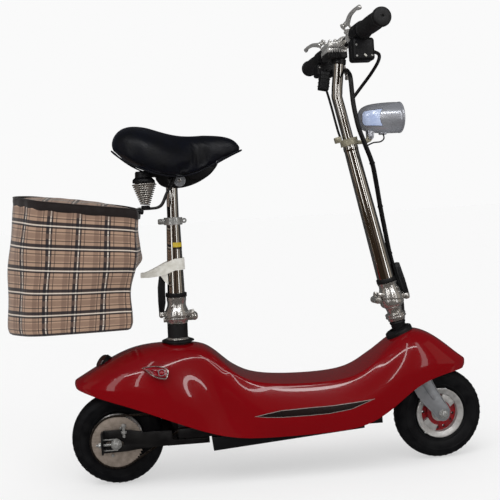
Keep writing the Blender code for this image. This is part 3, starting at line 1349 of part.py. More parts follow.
def main():
    chassis()
    rear_axis = carrier("rear_wheel_axis", (0.0, 0.0, TYRE_R))
    carry(rear_axis, rear_wheel)
    motor_axis = carrier("motor_axis", (MOTOR_X, 0.0, MOTOR_Z))
    carry(motor_axis, motor_sprocket)
    carry(carrier("stand_axis", STAND_PIVOT), kickstand)

    steer_axis = carrier("steer_axis", axis_point(0.3), (0.0, -RAKE, 0.0))
    carry(steer_axis, steered)
    front_axis = carrier("front_wheel_axis", (WHEELBASE, 0.0, FRONT_Z))
    carry(front_axis, front_wheel)
    column_axis = carrier("column_fold_axis", side_place(COLUMN_HINGE))
    carry(column_axis, folding_column)
    latch_axis = carrier("column_latch_axis", side_place(COLUMN_LATCH))
    carry(latch_axis, column_latch)
    lamp_axis = carrier("headlight_axis", (0.590, 0.0, 0.7190))
    carry(lamp_axis, headlight)
    bar_axis = carrier("bar_slide_axis", axis_point(0.7160), (0.0, -RAKE, 0.0))
    carry(bar_axis, sliding_bar)
    throttle_axis = carrier("throttle_axis", (BAR_X, 0.0, BAR_Z))
    carry(throttle_axis, lambda: grip("throttle_grip", -1, 0.1600, GRIP_END))
    button_axis = carrier("button_axis", (BAR_X + 0.0230, -0.1370, BAR_Z - 0.0270))
    carry(button_axis, switch_button)
    lever_axes = []
    for name, side in (("right_brake_lever", -1), ("left_brake_lever", 1)):
        lever_axis = carrier(f"{name}_axis", lever_pivot(side))
        carry(lever_axis, lambda: brake_lever(name, side))
        lever_axes.append(lever_axis)
    for child in (throttle_axis, button_axis, *lever_axes):
        hang(child, bar_axis)
    for child in (bar_axis, latch_axis, lamp_axis):
        hang(child, column_axis)
    for child in (front_axis, column_axis):
        hang(child, steer_axis)

    post_axis = carrier("post_fold_axis", side_place(POST_HINGE))
    carry(post_axis, folding_post)
    post_latch_axis = carrier("post_latch_axis", side_place(POST_LATCH))
    carry(post_latch_axis, seat_latch)
    slide_axis = carrier("post_slide_axis", post_point(0.5680), (0.0, POST_LEAN, 0.0))
    carry(slide_axis, sliding_post)
    for child in (post_latch_axis, slide_axis):
        hang(child, post_axis)

    turn = Euler((0.0, 0.0, STEER_TURN)).to_matrix().to_4x4()
    steer_axis.matrix_world = steer_axis.matrix_world @ turn
    for ob in list(bpy.data.objects):
        if ob.parent is None:
            ob.location.x -= ORIGIN_X
    bpy.context.view_layer.update()


main()
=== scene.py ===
"""Looks of a folding electric scooter with a sprung saddle and a cloth bag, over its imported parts."""

import json
import math

import bpy
from bpy.props import FloatProperty, FloatVectorProperty, IntProperty, PointerProperty
from mathutils import Matrix, Vector

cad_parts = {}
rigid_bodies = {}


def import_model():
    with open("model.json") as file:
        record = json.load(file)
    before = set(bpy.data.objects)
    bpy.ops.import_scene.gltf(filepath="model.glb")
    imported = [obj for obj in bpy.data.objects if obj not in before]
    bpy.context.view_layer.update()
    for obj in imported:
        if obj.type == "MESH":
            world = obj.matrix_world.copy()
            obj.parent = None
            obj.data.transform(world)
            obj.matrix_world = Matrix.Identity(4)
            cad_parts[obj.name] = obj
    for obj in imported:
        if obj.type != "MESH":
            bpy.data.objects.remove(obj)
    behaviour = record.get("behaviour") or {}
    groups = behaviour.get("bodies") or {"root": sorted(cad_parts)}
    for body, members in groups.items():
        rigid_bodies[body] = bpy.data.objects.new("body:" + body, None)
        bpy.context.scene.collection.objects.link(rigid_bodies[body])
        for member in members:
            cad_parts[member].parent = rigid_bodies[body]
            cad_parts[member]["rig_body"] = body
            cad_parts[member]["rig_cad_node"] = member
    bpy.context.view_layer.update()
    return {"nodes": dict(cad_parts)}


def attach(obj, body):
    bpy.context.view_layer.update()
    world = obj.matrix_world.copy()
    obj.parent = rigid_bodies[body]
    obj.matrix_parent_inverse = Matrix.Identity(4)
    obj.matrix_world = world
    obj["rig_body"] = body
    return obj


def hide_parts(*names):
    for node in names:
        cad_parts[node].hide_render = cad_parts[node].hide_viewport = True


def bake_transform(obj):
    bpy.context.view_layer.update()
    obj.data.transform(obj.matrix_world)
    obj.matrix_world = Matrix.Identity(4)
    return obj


bl_info = {
    "name": "Folding scooter looks",
    "version": (1, 0, 0),
    "blender": (4, 5, 0),
    "location": "View3D > Sidebar > Scooter",
    "description": "Builds the detailed pieces, the finishes and the studio of a folding electric scooter",
    "category": "Object",
}

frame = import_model()

# Places are measured on the bench: from the rear axle, with the wheel straight ahead. The frame is
# moved back by ORIGIN_X, and the steered bodies are turned about the raked steering axis.
ORIGIN_X = 0.2937
RAKE = math.radians(12.16)
STEER_TURN = math.radians(7.0)
AXIS_FOOT_X = 0.6949
POST_LEAN = math.radians(1.3)
WHEELBASE = 0.7087
FRONT_Z = 0.1002
REAR_Z = 0.1
CHAIN_Y = -0.044
BAR_X = 0.536
BAR_Z = 0.9187
MOTOR_X = 0.156
MOTOR_Z = 0.141
CHAIN_PITCH = 0.00635
COLUMN_HINGE = (0.582, 0.3605)
COLUMN_LATCH = (0.651, 0.364)
POST_HINGE = (0.181, 0.353)
POST_LATCH = (0.1106, 0.3585)
STEERED = (
    "steering front_wheel column column_lever headlight bar throttle button right_lever left_lever"
).split()


def mm(*numbers, per=2):
    """Rows of a few numbers each, in metres, from millimetres."""
    scaled = [number / 1000 for number in numbers]
    return [tuple(scaled[i : i + per]) for i in range(0, len(scaled), per)]


def linear(code):
    """Linear colour of an sRGB hex code."""
    channels = [int(code[i : i + 2], 16) / 255 for i in (0, 2, 4)]
    return tuple(c / 12.92 if c <= 0.04045 else ((c + 0.055) / 1.055) ** 2.4 for c in channels)


def axis_point(z):
    """Point of the steering axis at a height."""
    return Vector((AXIS_FOOT_X - z * math.tan(RAKE), 0.0, z))


def post_point(z):
    """Point of the saddle post's axis at a height."""
    return Vector((0.1426 + (z - 0.3) * math.tan(POST_LEAN), 0.0, z))


AXIS_UP = Vector((-math.sin(RAKE), 0.0, math.cos(RAKE)))
POST_UP = Vector((math.sin(POST_LEAN), 0.0, math.cos(POST_LEAN)))


def bench_to_frame(body):
    """Matrix that takes bench places to the frame for a piece of that body."""
    back = Matrix.Translation((-ORIGIN_X, 0.0, 0.0))
    if body not in STEERED:
        return back
    pivot = axis_point(0.3)
    turn = Matrix.Rotation(-RAKE, 4, "Y") @ Matrix.Rotation(STEER_TURN, 4, "Z")
    turn = turn @ Matrix.Rotation(RAKE, 4, "Y")
    return back @ Matrix.Translation(pivot) @ turn @ Matrix.Translation(-pivot)


# Sizes and colours that a user would change


def shade(name, code, description):
    return FloatVectorProperty(
        name=name, description=description, subtype="COLOR", size=3, min=0.0, max=1.0, default=linear(code)
    )


def length(name, default, description):
    return FloatProperty(
        name=name, description=description, default=default, min=0.0, unit="LENGTH", precision=4
    )


class ScooterColours(bpy.types.PropertyGroup):
    body: shade("Body", "78040C", "Moulded body shell")
    body_deep: shade("Body, deep", "70030A", "Darker patches of the moulded body shell")
    wheel_recess: shade("Wheel recess", "8E0B16", "Painted hollows of the wheels")
    cloth: shade("Bag cloth", "A68974", "Ground of the woven check")
    cloth_band: shade("Bag band", "6A5348", "Broad bands of the woven check")
    cloth_line: shade("Bag line", "17171F", "Thin lines of the woven check")
    cloth_pale: shade("Bag pale line", "DAD1C5", "Pale lines of the woven check")
    trim: shade("Bag binding", "1B1312", "Binding round the bag's lid")
    saddle: shade("Saddle", "0B0D15", "Vinyl of the saddle")
    webbing: shade("Strap", "DCDAD3", "Webbing strap of the bag")
    rubber: shade("Rubber", "0A0A0D", "Tyres, grips and seals")
    lamp: shade("Lamp housing", "C3C6CE", "Lacquered headlight")


class ScooterSizes(bpy.types.PropertyGroup):
    check_pitch: length("Check pitch", 0.044, "Distance from one band of the bag's check to the next")
    piping: length("Piping radius", 0.0017, "Radius of the saddle's piping")
    spring_wire: length("Spring wire radius", 0.0015, "Radius of the saddle springs' wire")
    lugs: IntProperty(name="Tread lugs", description="Lugs round each tyre", default=46, min=12, max=80)
    coil_turns: IntProperty(
        name="Spring turns", description="Turns of each saddle spring", default=10, min=4, max=12
    )


# Modelling by hand


def clear_selection():
    if bpy.context.mode != "OBJECT":
        bpy.ops.object.mode_set(mode="OBJECT")
    bpy.ops.object.select_all(action="DESELECT")


def pick(*pieces):
    """Selects only these pieces, the first one active."""
    clear_selection()
    for piece in pieces:
        piece.select_set(True)
    bpy.context.view_layer.objects.active = pieces[0]
    return pieces[0]


def named(name):
    piece = bpy.context.object
    piece.name = name
    piece.data.name = name
    return piece


def modify(piece, kind, **settings):
    """Adds a modifier with its settings and applies it."""
    pick(piece)
    modifier = piece.modifiers.new(kind.title(), kind)
    for name, value in settings.items():
        setattr(modifier, name, value)
    bpy.ops.object.modifier_apply(modifier=modifier.name)
    return piece


def round_edges(piece, width, segments=2, angle=35.0):
    limit = math.radians(angle)
    return modify(piece, "BEVEL", width=width, segments=segments, limit_method="ANGLE", angle_limit=limit)


def put(piece, at, direction=(0, 0, 1)):
    """Turns a piece's Z to a direction, moves it to a place and keeps both in its mesh."""
    turn = Vector(direction).to_track_quat("Z", "Y").to_matrix().to_4x4()
    piece.data.transform(Matrix.Translation(at) @ turn)
    return piece


def close_up():
    """In edit mode: merges doubles, drops loose bits and turns the faces outwards."""
    bpy.ops.mesh.select_all(action="SELECT")
    bpy.ops.mesh.remove_doubles(threshold=0.000002)
    bpy.ops.mesh.delete_loose(use_verts=True, use_edges=True, use_faces=False)
    bpy.ops.mesh.select_all(action="SELECT")
    bpy.ops.mesh.normals_make_consistent(inside=False)


def mend(threshold):
    """Merges doubles of the active piece and turns its faces outwards."""
    bpy.ops.object.mode_set(mode="EDIT")
    bpy.ops.mesh.select_all(action="SELECT")
    bpy.ops.mesh.remove_doubles(threshold=threshold)
    bpy.ops.mesh.normals_make_consistent(inside=False)
    bpy.ops.object.mode_set(mode="OBJECT")


def grid(name, columns, rows, place):
    """Grid shaped point by point: place gives a point from its column and its row."""
    clear_selection()
    bpy.ops.mesh.primitive_grid_add(x_subdivisions=columns, y_subdivisions=rows, size=1.0, location=(0, 0, 0))
    piece = named(name)
    spots = [(round((v.co.x + 0.5) * columns), round((v.co.y + 0.5) * rows)) for v in piece.data.vertices]
    for vert, (column, row) in zip(piece.data.vertices, spots):
        vert.co = place(column, row)
    return piece, spots


def lay_on(film, skin, side, proud):
    """Lays a film that stands off a side on the skin behind it."""
    towards = {"use_negative_direction": side > 0, "use_positive_direction": side < 0}
    modify(film, "SHRINKWRAP", target=skin, wrap_method="PROJECT", use_project_y=True, offset=proud, **towards)


def lathe(name, profile, at=(0, 0, 0), direction=(0, 0, 1), steps=48, edge=0.0, angle=360.0, start=0.0):
    """Turned piece: a ring shaped to radius and height pairs, spun round its axis."""
    clear_selection()
    bpy.ops.mesh.primitive_circle_add(vertices=len(profile), radius=0.01, location=(0, 0, 0))
    piece = named(name)
    for vert, (radius, height) in zip(piece.data.vertices, profile):
        vert.co = (radius, 0.0, height)
    if start:
        piece.data.transform(Matrix.Rotation(math.radians(start), 4, "Z"))
    bpy.ops.object.mode_set(mode="EDIT")
    bpy.ops.mesh.select_all(action="SELECT")
    if angle < 360.0:
        bpy.ops.mesh.edge_face_add()
    bpy.ops.mesh.spin(steps=steps, angle=math.radians(angle), center=(0, 0, 0), axis=(0, 0, 1))
    close_up()
    bpy.ops.object.mode_set(mode="OBJECT")
    if edge:
        round_edges(piece, edge)
    return put(piece, at, direction)


def on_column(name, profile, steps=48):
    """Turned piece on the steering axis, its heights read straight up."""
    stretched = [(r, (z - 0.3) / math.cos(RAKE)) for r, z in profile]
    return lathe(name, stretched, axis_point(0.3), AXIS_UP, steps)


def on_post(name, profile, steps=48):
    """Turned piece on the saddle post's axis."""
    moved = [(r, z - 0.3) for r, z in profile]
    return lathe(name, moved, post_point(0.3), POST_UP, steps)


def on_bar(name, profile, side, steps):
    """Turned piece on the handlebar, its heights read from the middle out to a side."""
    return lathe(name, profile, (BAR_X, 0.0, BAR_Z), (0, side, 0), steps)


def round_axle(name, profile, x, z, steps, edge=0.0):
    """Turned piece round an axle that runs across the scooter."""
    return lathe(name, profile, (x, 0.0, z), (0, 1, 0), steps, edge)


def mirrored(half):
    """Profile continued to the other side, back to front."""
    return half + [(r, -y) for r, y in reversed(half)]


def shifted(piece, *by):
    piece.data.transform(Matrix.Translation(by))
    return piece


def link(name, data):
    """New object of the scene with that data."""
    thing = bpy.data.objects.new(name, data)
    bpy.context.scene.collection.objects.link(thing)
    return thing


def bar(name, radius, start, end, steps=32, edge=0.0004, end_radius=None):
    """Round bar from one point to another with softened ends."""
    start, end = Vector(start), Vector(end)
    far = radius if end_radius is None else end_radius
    tall = (end - start).length
    profile = [(0.0, 0.0), (radius - edge, 0.0), (radius, edge)]
    profile += [(far, tall - edge), (far - edge, tall), (0.0, tall)]
    return lathe(name, profile, start, end - start, steps)


def hex_nut(name, across, start, end, bore=0.0):
    """Hexagon nut or bolt head with turned-down corners and a round end inside it."""
    start, end = Vector(start), Vector(end)
    tall = (end - start).length
    r = across / 2 / math.cos(math.pi / 6)
    nut = lathe(name, [(bore, 0.0), (r, 0.0), (r, tall), (bore, tall)], (0, 0, 0), (0, 0, 1), 6)
    round_edges(nut, 0.0005, 2, 50)
    if not bore:
        tip_r, top = across * 0.3, tall + 0.0016
        tip = [(0.0, 0.0), (tip_r, 0.0), (tip_r, top - 0.0008), (tip_r - 0.0008, top), (0.0, top)]
        nut = joined(name, [nut, lathe("tip", tip, steps=20)])
    return put(nut, start, end - start)


def block(name, size, at, tilt=0.0, edge=0.0008, segments=2):
    """Box shaped from a cube, its edges bevelled, tilted about Y."""
    clear_selection()
    bpy.ops.mesh.primitive_cube_add(size=1.0, location=(0, 0, 0))
    piece = named(name)
    for vert in piece.data.vertices:
        vert.co = [c * s for c, s in zip(vert.co, size)]
    if edge:
        bpy.ops.object.mode_set(mode="EDIT")
        bpy.ops.mesh.select_all(action="SELECT")
        bpy.ops.mesh.bevel(offset=edge, segments=segments, affect="EDGES")
        bpy.ops.object.mode_set(mode="OBJECT")
    piece.data.transform(Matrix.Translation(at) @ Matrix.Rotation(tilt, 4, "Y"))
    return piece


def curve_piece(name, data):
    """Turns curve data into a mesh piece."""
    pick(link(name, data))
    bpy.ops.object.convert(target="MESH")
    piece = named(name)
    bpy.ops.object.mode_set(mode="EDIT")
    close_up()
    bpy.ops.object.mode_set(mode="OBJECT")
    return piece


def add_spline(data, points, cyclic):
    spline = data.splines.new("POLY")
    spline.points.add(len(points) - 1)
    for point, place in zip(spline.points, points):
        point.co = (*place, 1.0) if len(place) == 3 else (*place, 0.0, 1.0)
    spline.use_cyclic_u = cyclic


def tube(name, points, radius, sides=3, cyclic=False):
    """Round bar, wire or cord along a list of points."""
    data = bpy.data.curves.new(name, "CURVE")
    data.dimensions = "3D"
    data.bevel_depth = radius
    data.bevel_resolution = sides
    data.use_fill_caps = True
    add_spline(data, points, cyclic)
    return curve_piece(name, data)


def plate(name, outlines, thickness, edge=0.0004):
    """Flat piece of a thickness from 2D outlines, the later ones being holes, with rounded rims."""
    data = bpy.data.curves.new(name, "CURVE")
    data.dimensions = "2D"
    data.fill_mode = "BOTH"
    data.extrude = thickness / 2 - edge
    data.bevel_depth = edge
    data.bevel_resolution = 1
    data.offset = -edge
    for outline in outlines:
        add_spline(data, outline, True)
    return curve_piece(name, data)


def side_plate(name, outlines, y_from, y_to, edge=0.0004):
    """Plate seen from the side, its outline in X and Z."""
    piece = plate(name, outlines, abs(y_to - y_from), edge)
    upright = Matrix.Rotation(math.pi / 2, 4, "X")
    piece.data.transform(Matrix.Translation((0.0, (y_from + y_to) / 2, 0.0)) @ upright)
    return piece


def arc(cx, cy, radius, start, end, count):
    """Points on an arc, angles in degrees."""
    points = []
    for i in range(count):
        angle = math.radians(start + (end - start) * i / (count - 1))
        points.append((cx + radius * math.cos(angle), cy + radius * math.sin(angle)))
    return points


def smooth_path(knots, per_span=8, closed=False):
    """Points on a smooth curve through the knots."""
    knots = [Vector(k) for k in knots]
    if closed:
        padded = [knots[-1], *knots, knots[0], knots[1]]
    else:
        padded = [2 * knots[0] - knots[1], *knots, 2 * knots[-1] - knots[-2]]
    points = []
    for p0, p1, p2, p3 in zip(padded, padded[1:], padded[2:], padded[3:]):
        for k in range(per_span):
            t = k / per_span
            a = 2 * p1 + (p2 - p0) * t
            b = (2 * p0 - 5 * p1 + 4 * p2 - p3) * t * t
            c = (3 * p1 - p0 - 3 * p2 + p3) * t**3
            points.append(0.5 * (a + b + c))
    if not closed:
        points.append(knots[-1])
    return points


def smooth_outline(knots, per_span=4, closed=True):
    """2D outline that runs smoothly through the knots."""
    return [tuple(p)[:2] for p in smooth_path([(x, y, 0.0) for x, y in knots], per_span, closed)]


def joined(name, parts):
    """Parts made one mesh, keeping their materials."""
    if len(parts) > 1:
        pick(*parts)
        bpy.ops.object.join()
    parts[0].name = name
    parts[0].data.name = name
    return parts[0]


def copies(piece, places):
    """One mesh of the piece at each place; the piece itself is used up."""
    made = []
    for place in places:
        another = piece.copy()
        another.data = piece.data.copy()
        bpy.context.scene.collection.objects.link(another)
        another.data.transform(place)
        if place.determinant() < 0:
            another.data.flip_normals()
        made.append(another)
    bpy.data.objects.remove(piece, do_unlink=True)
    return joined(made[0].name, made)


def cut(piece, *tools):
    """Cuts the tools out of the piece."""
    for tool in tools:
        modify(piece, "BOOLEAN", operation="DIFFERENCE", solver="EXACT", object=tool)
        bpy.data.objects.remove(tool, do_unlink=True)
    return piece


def paint(piece, material):
    """Gives a piece one material, or the finish of that name."""
    piece.data.materials.clear()
    piece.data.materials.append(finish(material) if isinstance(material, str) else material)
    return piece


def complete(piece, body, node, material=None, in_frame=False, smooth=32.0):
    """Moves a bench piece to its frame place, shades it, ties it to its body and hides its CAD node."""
    if not in_frame:
        piece.data.transform(bench_to_frame(body))
    if material:
        paint(piece, material)
    pick(piece)
    bpy.ops.object.shade_smooth_by_angle(angle=math.radians(smooth))
    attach(piece, body)
    if node:
        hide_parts(*([node] if isinstance(node, str) else node))
    return piece


def refined(node, name, edge=0.0006, flat=1.0):
    """Copy of a CAD node's mesh with its triangles merged into faces and its edges rounded."""
    piece = frame["nodes"][node].copy()
    piece.data = piece.data.copy()
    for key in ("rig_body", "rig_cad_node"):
        del piece[key]
    piece.parent = None
    piece.hide_render = False
    piece.hide_viewport = False
    bpy.context.scene.collection.objects.link(piece)
    pick(piece)
    named(name)
    bpy.ops.object.mode_set(mode="EDIT")
    bpy.ops.mesh.select_all(action="SELECT")
    bpy.ops.mesh.remove_doubles(threshold=0.00002)
    bpy.ops.mesh.dissolve_limited(angle_limit=math.radians(flat))
    bpy.ops.object.mode_set(mode="OBJECT")
    if edge:
        round_edges(piece, edge, 2, 40)
    return piece


# Finishes


def add_node(material, kind, inputs=None, **settings):
    """Adds a node; an input takes a value or another node's output."""
    node = material.node_tree.nodes.new(kind)
    for name, value in settings.items():
        setattr(node, name, value)
    for key, value in (inputs or {}).items():
        if isinstance(value, bpy.types.NodeSocket):
            material.node_tree.links.new(value, node.inputs[key])
        else:
            node.inputs[key].default_value = value
    return node


def new_finish(name, sockets):
    """Starts a material; sockets holds the values that are the same all over it."""
    material = bpy.data.materials.get(name) or bpy.data.materials.new(name)
    material.use_nodes = True
    material.node_tree.nodes.clear()
    shader = add_node(material, "ShaderNodeBsdfPrincipled", sockets)
    add_node(material, "ShaderNodeOutputMaterial", {"Surface": shader.outputs[0]})
    return material, shader


def colours():
    return bpy.context.scene.scooter_colours


def sizes():
    return bpy.context.scene.scooter_sizes


def tone(word):
    """Colour of a user's setting, or of a hex code."""
    colour = getattr(colours(), word, None)
    return (*(linear(word) if colour is None else colour), 1.0)


def mixed_finish(name, sockets, light, dark, patch, rough, grain, depth, figure=None):
    """Colour and gloss that drift in patches over a fine relief, and a pattern in it; sizes in metres."""
    material, shader = new_finish(name, sockets)
    place = add_node(material, "ShaderNodeTexCoord").outputs["Object"]
    drift = add_node(material, "ShaderNodeTexNoise", {"Vector": place, "Scale": 1 / patch, "Detail": 4.0})
    spread = {"Value": drift.outputs["Fac"], "From Min": 0.35, "From Max": 0.65}
    spread = add_node(material, "ShaderNodeMapRange", spread).outputs[0]
    mix = add_node(material, "ShaderNodeMix", {0: spread, 6: tone(light), 7: tone(dark)}, data_type="RGBA")
    gloss = {"Value": spread, "To Min": rough[0], "To Max": rough[1]}
    gloss = add_node(material, "ShaderNodeMapRange", gloss)
    relief = add_node(material, "ShaderNodeTexNoise", {"Vector": place, "Scale": 1 / grain, "Detail": 2.0})
    bump = add_node(material, "ShaderNodeBump", {"Height": relief.outputs["Fac"], "Distance": depth})
    if figure:
        kind, inputs, settings, height, distance, strength = figure
        pattern = add_node(material, kind, {"Vector": place, **inputs}, **settings).outputs[height]
        inputs = {"Height": pattern, "Distance": distance, "Strength": strength, "Normal": bump.outputs[0]}
        bump = add_node(material, "ShaderNodeBump", inputs)
    for name, output in (
        ("Base Color", mix.outputs[2]), ("Roughness", gloss.outputs[0]), ("Normal", bump.outputs[0])
    ):
        material.node_tree.links.new(output, shader.inputs[name])
    return material


BANDS_UP = {"wave_type": "BANDS", "bands_direction": "Z"}
# Name, the shader's own values, light and dark colour, patch size, roughness of each, grain and its
# depth, and for some a pattern: node, inputs, settings, output, depth and strength
FINISHES = {
    # Glossy ABS from a polished mould: deep red, a hard clear shine and a very slight ripple
    # The ripple of a polished mould is some 40 mm long and a few hundredths deep
    "moulded_red_abs": (
        "red_moulded_abs",
        {"IOR": 1.5, "Coat Weight": 0.7, "Coat Roughness": 0.02, "Specular IOR Level": 0.12}, "body",
        "body_deep", 0.35, (0.16, 0.22), 0.04, 0.00008
    ),
    # Bright chrome plate on drawn tube: a near mirror with faint cloudy wear
    "chrome_plate": (
        "chrome_plated_tube", {"Metallic": 1.0}, "DEDCD8", "C8C4BD", 0.03, (0.04, 0.09), 0.01, 0.000004
    ),
    # Chrome plate over a die casting: bright, but softened by the casting's orange peel
    # Real peel is about 1 mm; drawn 2.5 mm long so that it breaks up the reflections
    "cast_chrome": (
        "chrome_plated_casting", {"Metallic": 0.88}, "E0DEDB", "C2BEB8", 0.007, (0.16, 0.28), 0.003, 0.0001
    ),
    # Polished cast aluminium of levers and caps: pale, soft-edged reflections
    "polished_alloy": (
        "polished_aluminium", {"Metallic": 0.65}, "DEDDDA", "C6C4C0", 0.01, (0.14, 0.24), 0.003, 0.00004
    ),
    # Passivated zinc on the lamp's clamp: pale olive grey, satin
    "clamp_zinc": (
        "passivated_zinc", {"Metallic": 0.35}, "A29C86", "8A8472", 0.008, (0.28, 0.42), 0.003, 0.00005
    ),
    # Chrome plated spring wire, a little dulled
    "chrome_wire": (
        "chrome_plated_wire", {"Metallic": 0.75}, "D2CEC8", "A9A39B", 0.006, (0.16, 0.28), 0.002, 0.00002
    ),
    # Spark-textured ABS of boxes and levers: matt black with a fine even grain
    "black_abs": (
        "black_textured_abs", {"IOR": 1.54, "Specular IOR Level": 0.25}, "101013", "0B0B0D", 0.015,
        (0.34, 0.48), 0.0012, 0.0001
    ),
    # Moulded EPDM rubber: soft black, dull, slightly bloomed
    "seal_rubber": (
        "epdm_rubber", {"IOR": 1.52, "Specular IOR Level": 0.35}, "0E0E10", "151416", 0.012, (0.45, 0.66),
        0.0016, 0.00012
    ),
    # Thermoplastic rubber grips: black, fine stipple, a soft sheen where hands polish it
    "grip_rubber": (
        "stippled_grip_rubber",
        {"IOR": 1.5, "Specular IOR Level": 0.4, "Sheen Weight": 0.02, "Sheen Roughness": 0.5}, "0A0A0C",
        "101012", 0.02, (0.38, 0.6), 0.0018, 0.00022
    ),
    # Pneumatic tyre rubber: black with grey road dust in patches, waxy on its walls
    "tyre_rubber": (
        "tyre_rubber", {"IOR": 1.52, "Specular IOR Level": 0.15}, "rubber", "121214", 0.018, (0.44, 0.6),
        0.0015, 0.00016
    ),
    # Oiled chain steel: brown-grey metal with dirt in its film
    "oiled_steel": (
        "oiled_chain_steel", {"Metallic": 1.0}, "6E6660", "3C3835", 0.004, (0.28, 0.5), 0.0012, 0.00008
    ),
    # Punched and tumbled sprocket plate: dull warm grey
    "punched_steel": (
        "punched_steel_plate", {"Metallic": 0.55}, "B0A296", "92867B", 0.012, (0.38, 0.55), 0.002, 0.00006
    ),
    # Bright zinc plate on small pressings and bolts
    "zinc_plate": (
        "zinc_plated_steel", {"Metallic": 0.7}, "C6C6C4", "A0A09D", 0.006, (0.22, 0.4), 0.002, 0.00006
    ),
    # Die-cast aluminium wheel with silver lacquer: pale grey, softly metallic
    "cast_aluminium": (
        "lacquered_cast_aluminium", {"Metallic": 0.5}, "C6C4C2", "ABA9A6", 0.012, (0.28, 0.4), 0.0016, 0.00008
    ),
    # Grey enamel on the pressed fork legs: smooth, half gloss
    "pressed_grey_steel": (
        "grey_enamelled_steel", {"Metallic": 0.6, "Coat Weight": 0.4, "Coat Roughness": 0.1}, "9FA1A5",
        "87898D", 0.02, (0.32, 0.42), 0.003, 0.00005
    ),
    # Red enamel in the wheels' hollows
    "red_enamel": (
        "red_wheel_enamel", {"IOR": 1.5, "Coat Weight": 0.4, "Coat Roughness": 0.12}, "wheel_recess", "6E0812",
        0.012, (0.22, 0.36), 0.003, 0.00006
    ),
    # Black powder coat on welded steel: hard, half gloss, with a fine orange peel and some dust
    "black_enamel": (
        "black_powder_coat", {"IOR": 1.5, "Specular IOR Level": 0.45}, "0A0A0C", "121111", 0.03, (0.28, 0.46),
        0.002, 0.00012
    ),
    # Silver lacquer on the lamp's moulding: fine metal flake under a clear coat
    "lamp_lacquer": (
        "silver_lacquered_moulding", {"Metallic": 0.6, "Coat Weight": 0.5, "Coat Roughness": 0.06}, "lamp",
        "A9ABB2", 0.05, (0.22, 0.3), 0.0016, 0.00004
    ),
    # Pale blue moulded window in the lamp's side, faintly ribbed and glossy
    "lamp_window": (
        "pale_blue_polycarbonate", {"IOR": 1.58, "Coat Weight": 0.5, "Coat Roughness": 0.05}, "C9D6F2",
        "A9BAE2", 0.03, (0.1, 0.18), 0.004, 0.00002,
        ("ShaderNodeTexWave", {"Scale": 90.0, "Distortion": 0.0}, BANDS_UP, "Fac", 0.0002, 0.5)
    ),
    # Clear polycarbonate lens with moulded flutes
    "clear_lens": (
        "clear_polycarbonate_lens", {"IOR": 1.58, "Transmission Weight": 0.85}, "E6EDF2", "DDE6EE", 0.02,
        (0.03, 0.08), 0.003, 0.00003
    ),
    # Ruby acrylic reflector: deep red, glassy, with prisms behind its face
    # Prisms are about 2 mm across
    "red_lens": (
        "ruby_acrylic", {"IOR": 1.49, "Coat Weight": 0.6, "Coat Roughness": 0.04, "Transmission Weight": 0.15},
        "8E0D1A", "5A0710", 0.008, (0.06, 0.14), 0.003, 0.00003,
        ("ShaderNodeTexVoronoi", {"Scale": 420.0}, {}, "Distance", 0.0004, 0.4)
    ),
    # Smoked acrylic of the tail lamp: nearly black with a red depth
    "smoked_lens": (
        "smoked_acrylic", {"IOR": 1.49, "Coat Weight": 0.5, "Coat Roughness": 0.06}, "3A1013", "14080A", 0.01,
        (0.05, 0.12), 0.002, 0.00004
    ),
    # PVC cable sleeve: black, smooth, soft gloss
    "cable_vinyl": (
        "black_pvc_sleeve", {"IOR": 1.53, "Specular IOR Level": 0.45}, "0C0C0E", "08080A", 0.015, (0.32, 0.45),
        0.003, 0.00008
    ),
    # Black printed film of the body's side stripe
    "transfer_black": (
        "black_printed_film", {"IOR": 1.5, "Coat Weight": 0.4, "Coat Roughness": 0.1}, "1A0F10", "120B0C",
        0.02, (0.2, 0.3), 0.004, 0.00002
    ),
    # Silver printed rim of the side stripe
    "transfer_silver": (
        "silver_printed_film", {"Metallic": 0.5, "Coat Weight": 0.4, "Coat Roughness": 0.1}, "B9B2AE",
        "9C948F", 0.01, (0.25, 0.35), 0.004, 0.00002
    ),
    # Printed label film: plain yellow, satin
    "label_yellow": (
        "label_film_yellow", {"IOR": 1.48}, "C9B02A", "B89C1E", 0.01, (0.35, 0.45), 0.001, 0.00002
    ),
    # Vinyl leathercloth stretched over foam: black with a blue cast, fine leather grain, soft sheen
    # Leather pores are about 1 mm; drawn 2 mm so that they show
    "saddle_vinyl": (
        "vinyl_leathercloth",
        {
            "IOR": 1.5, "Specular IOR Level": 0.22, "Sheen Weight": 0.03,
            "Sheen Tint": (0.55, 0.62, 1.0, 1.0), "Sheen Roughness": 0.4,
        },
        "saddle", "0A0B0F", 0.03, (0.32, 0.44), 0.0012, 0.00005,
        (
            "ShaderNodeTexVoronoi", {"Scale": 520.0, "Randomness": 0.9}, {"feature": "SMOOTH_F1"}, "Distance",
            0.00025, 0.6
        )
    ),
    # Polyester webbing: off-white, ribbed along its length, matt
    # Ribs of the weave are 1.6 mm apart
    "woven_webbing": (
        "polyester_webbing", {"Sheen Weight": 0.25, "Sheen Roughness": 0.5, "Specular IOR Level": 0.25},
        "webbing", "C9C6BC", 0.01, (0.7, 0.85), 0.0015, 0.0001,
        ("ShaderNodeTexWave", {"Scale": 95.0, "Distortion": 0.4}, BANDS_UP, "Fac", 0.0004, 0.6)
    ),
    # Grosgrain binding round the bag's lid: dark brown, ribbed and matt
    "binding_tape": (
        "grosgrain_binding", {"Sheen Weight": 0.2, "Sheen Roughness": 0.5, "Specular IOR Level": 0.2}, "trim",
        "1B1210", 0.012, (0.65, 0.85), 0.0016, 0.0003
    ),
}


